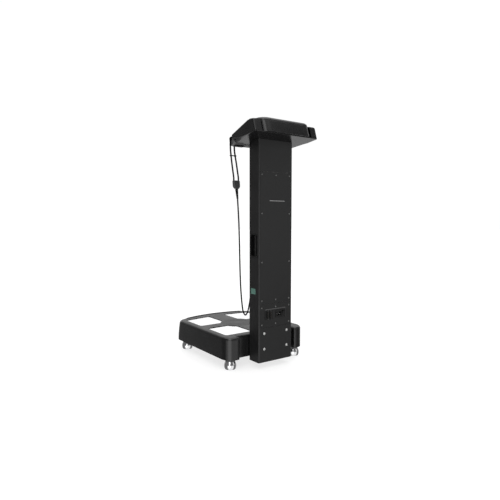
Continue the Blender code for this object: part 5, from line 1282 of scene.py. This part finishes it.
def build_upper_shell():
    """The head's upper shell, hollow, with the glass's pocket and the rear cover's bay."""
    stations = {HEAD_BACK - BACK_STEP, RIDGE_Y, SLOPE_Y}
    stations |= {HEAD_BACK - drop for _, drop in rounding(BACK_ROUND, 7)}
    stations |= {BEVEL_START + (HEAD_FRONT - BEVEL_START) * (step / 24) ** 1.6 for step in range(25)}
    stations = sorted(stations, reverse=True)
    outer = [head_section(y, 0.0, HEAD_WALL + LOOSE) for y in stations]
    back, front = HEAD_BACK - HEAD_WALL, HEAD_FRONT + HEAD_WALL
    inside = [back] + [y for y in stations if front < y < back] + [front]
    hollow = loft([head_section(y, HEAD_WALL, -HEAD_WALL) for y in inside])
    pocket = slope_box(2 * TOUCH, -GLASS_THICKNESS - TOUCH, PAST, GLASS_CORNER + TOUCH)
    window = slope_box(-GLASS_LEDGE, -2 * HEAD_WALL, PAST)
    half = REAR_HALF + TOUCH
    depth = (HEAD_BACK - REAR_LAP - TOUCH, HEAD_BACK + PAST)
    bay = box((-half, half), depth, (COLUMN_TOP - PAST, RIDGE_Z + PAST))
    piece("head_upper_moulding", loft(outer), CONSOLE_PLASTIC, "head_upper_shell",
          cuts=(hollow, pocket, window, bay), bevel=0.0007, segments=3, least=40.0)


def build_rear_cover():
    """The head's rear cover: a hollow cap with rounded corners and a groove round it."""
    high = RIDGE_Z + REAR_RISE
    rings = [rear_ring(HEAD_LOW, REAR_GROOVE), rear_ring(HEAD_LOW + REAR_GROOVE, 0.0)]
    for inset, drop in ((0.0, 0.0150), (REAR_GROOVE, 0.0147), (REAR_GROOVE, 0.0135), (0.0, 0.0132)):
        rings.append(rear_ring(high - drop, inset))
    rings += [rear_ring(high - drop, inset) for inset, drop in rounding(REAR_EDGE, 10)]
    half = REAR_HALF - REAR_END_WALL
    back = HEAD_BACK + REAR_BULGE - 2 * HEAD_WALL
    front = HEAD_BACK - REAR_LAP - PAST
    floor = HEAD_LOW + HEAD_WALL
    ceiling = high - 2 * HEAD_WALL
    outline = [(front, floor), (back - back_lean(floor), floor)]
    outline += [(back - back_lean(ceiling), ceiling), (front, ceiling)]
    piece("head_rear_moulding", loft(rings), CONSOLE_PLASTIC, "head_rear_cover",
          cuts=(prism(outline, "X", -half, half),), bevel=0.0005, least=50.0)


def build_head():
    """Console head: lower and upper shells, rear cover and display glass."""
    dressed("head_lower_shell", CONSOLE_PLASTIC, 0.0006, least=25.0)
    build_upper_shell()
    build_rear_cover()
    glass = slope_box(0.0, -GLASS_THICKNESS, 0.0, GLASS_CORNER)
    piece("display_glass_pane", glass, SCREEN_GLASS, "display_glass", bevel=0.0003, segments=3, least=50.0)


def build_grips():
    """Both hand grips with their electrodes and terminals, and the cradles that hold them."""
    for side, hand in ((-1, "left"), (1, "right")):
        rides = f"{hand}_grip"
        # Cradles and grip cores carry lighter greys as painted reflection of the floor.
        dressed(f"grip_cradle_{hand}", CRADLE_GREY_PAINTED_REFLECTION, 0.0006, least=40.0)
        dressed(f"grip_core_{hand}", GRIP_GREY_PAINTED_REFLECTION, rides=rides, least=40.0)
        across = sorted(side * x for x in TERMINAL_X)
        rings = []
        for level, grow, radius in TERMINAL_RINGS:
            outline = rectangle(across, (GRIP_Y - TERMINAL_HALF, GRIP_Y + TERMINAL_HALF), radius, 6, grow)
            rings.append(place(outline, "Z", GRIP_Z + level))
        piece(f"grip_terminal_{hand}", loft(rings), TERMINAL_PLASTIC, None, rides, smooth=40.0)
        dressed(f"palm_electrode_{hand}", SLEEVE_STEEL, 0.0003, 2, rides, 50.0)
        dressed(f"thumb_electrode_{hand}", BRIGHT_STEEL, 0.0008, 3, rides, 50.0)


def thin_plate(name, material, axis, face, sides, radius, height):
    """A thin bare plate on a face, with its edge eased."""
    rings = []
    for grow, lift in ((0.0, 0.00002), (0.0, 0.00012), (-0.0001, height)):
        rings.append(place(rectangle(*sides, radius + grow, 6, grow), axis, face + lift))
    piece(name, loft(rings), material)


def finish_inside():
    """Finishes of the nodes that keep their own shapes."""
    cells = [f"load_cell_{end}_{hand}" for end in ("front", "rear") for hand in ("left", "right")]
    refinish(CAST_ALLOY, "base_chassis", *cells)
    refinish(COLUMN_PAINT, "base_bottom_plate")
    refinish(SOCKET_PLASTIC, "load_cell_box", "power_supply", "display_panel")
    refinish(ZINC, "column_spacer", "column_top_plate", "cover_frame", "head_bolt_left", "head_bolt_right")
    refinish(CIRCUIT_GREEN, "measuring_board", "main_board")


set_camera()
set_studio()
lay_cords()
build_platform()
build_feet()
build_column()
build_cups_and_glands()
build_sockets()
build_head()
build_grips()
thin_plate("side_label", GREEN_LABEL, "X", COLUMN_HALF, LABEL_SIDES, LABEL_CORNER, LABEL_HEIGHT)
thin_plate("back_inlay", GREY_INLAY, "Y", COLUMN_BACK, INLAY_SIDES, INLAY_CORNER, INLAY_HEIGHT)
finish_inside()
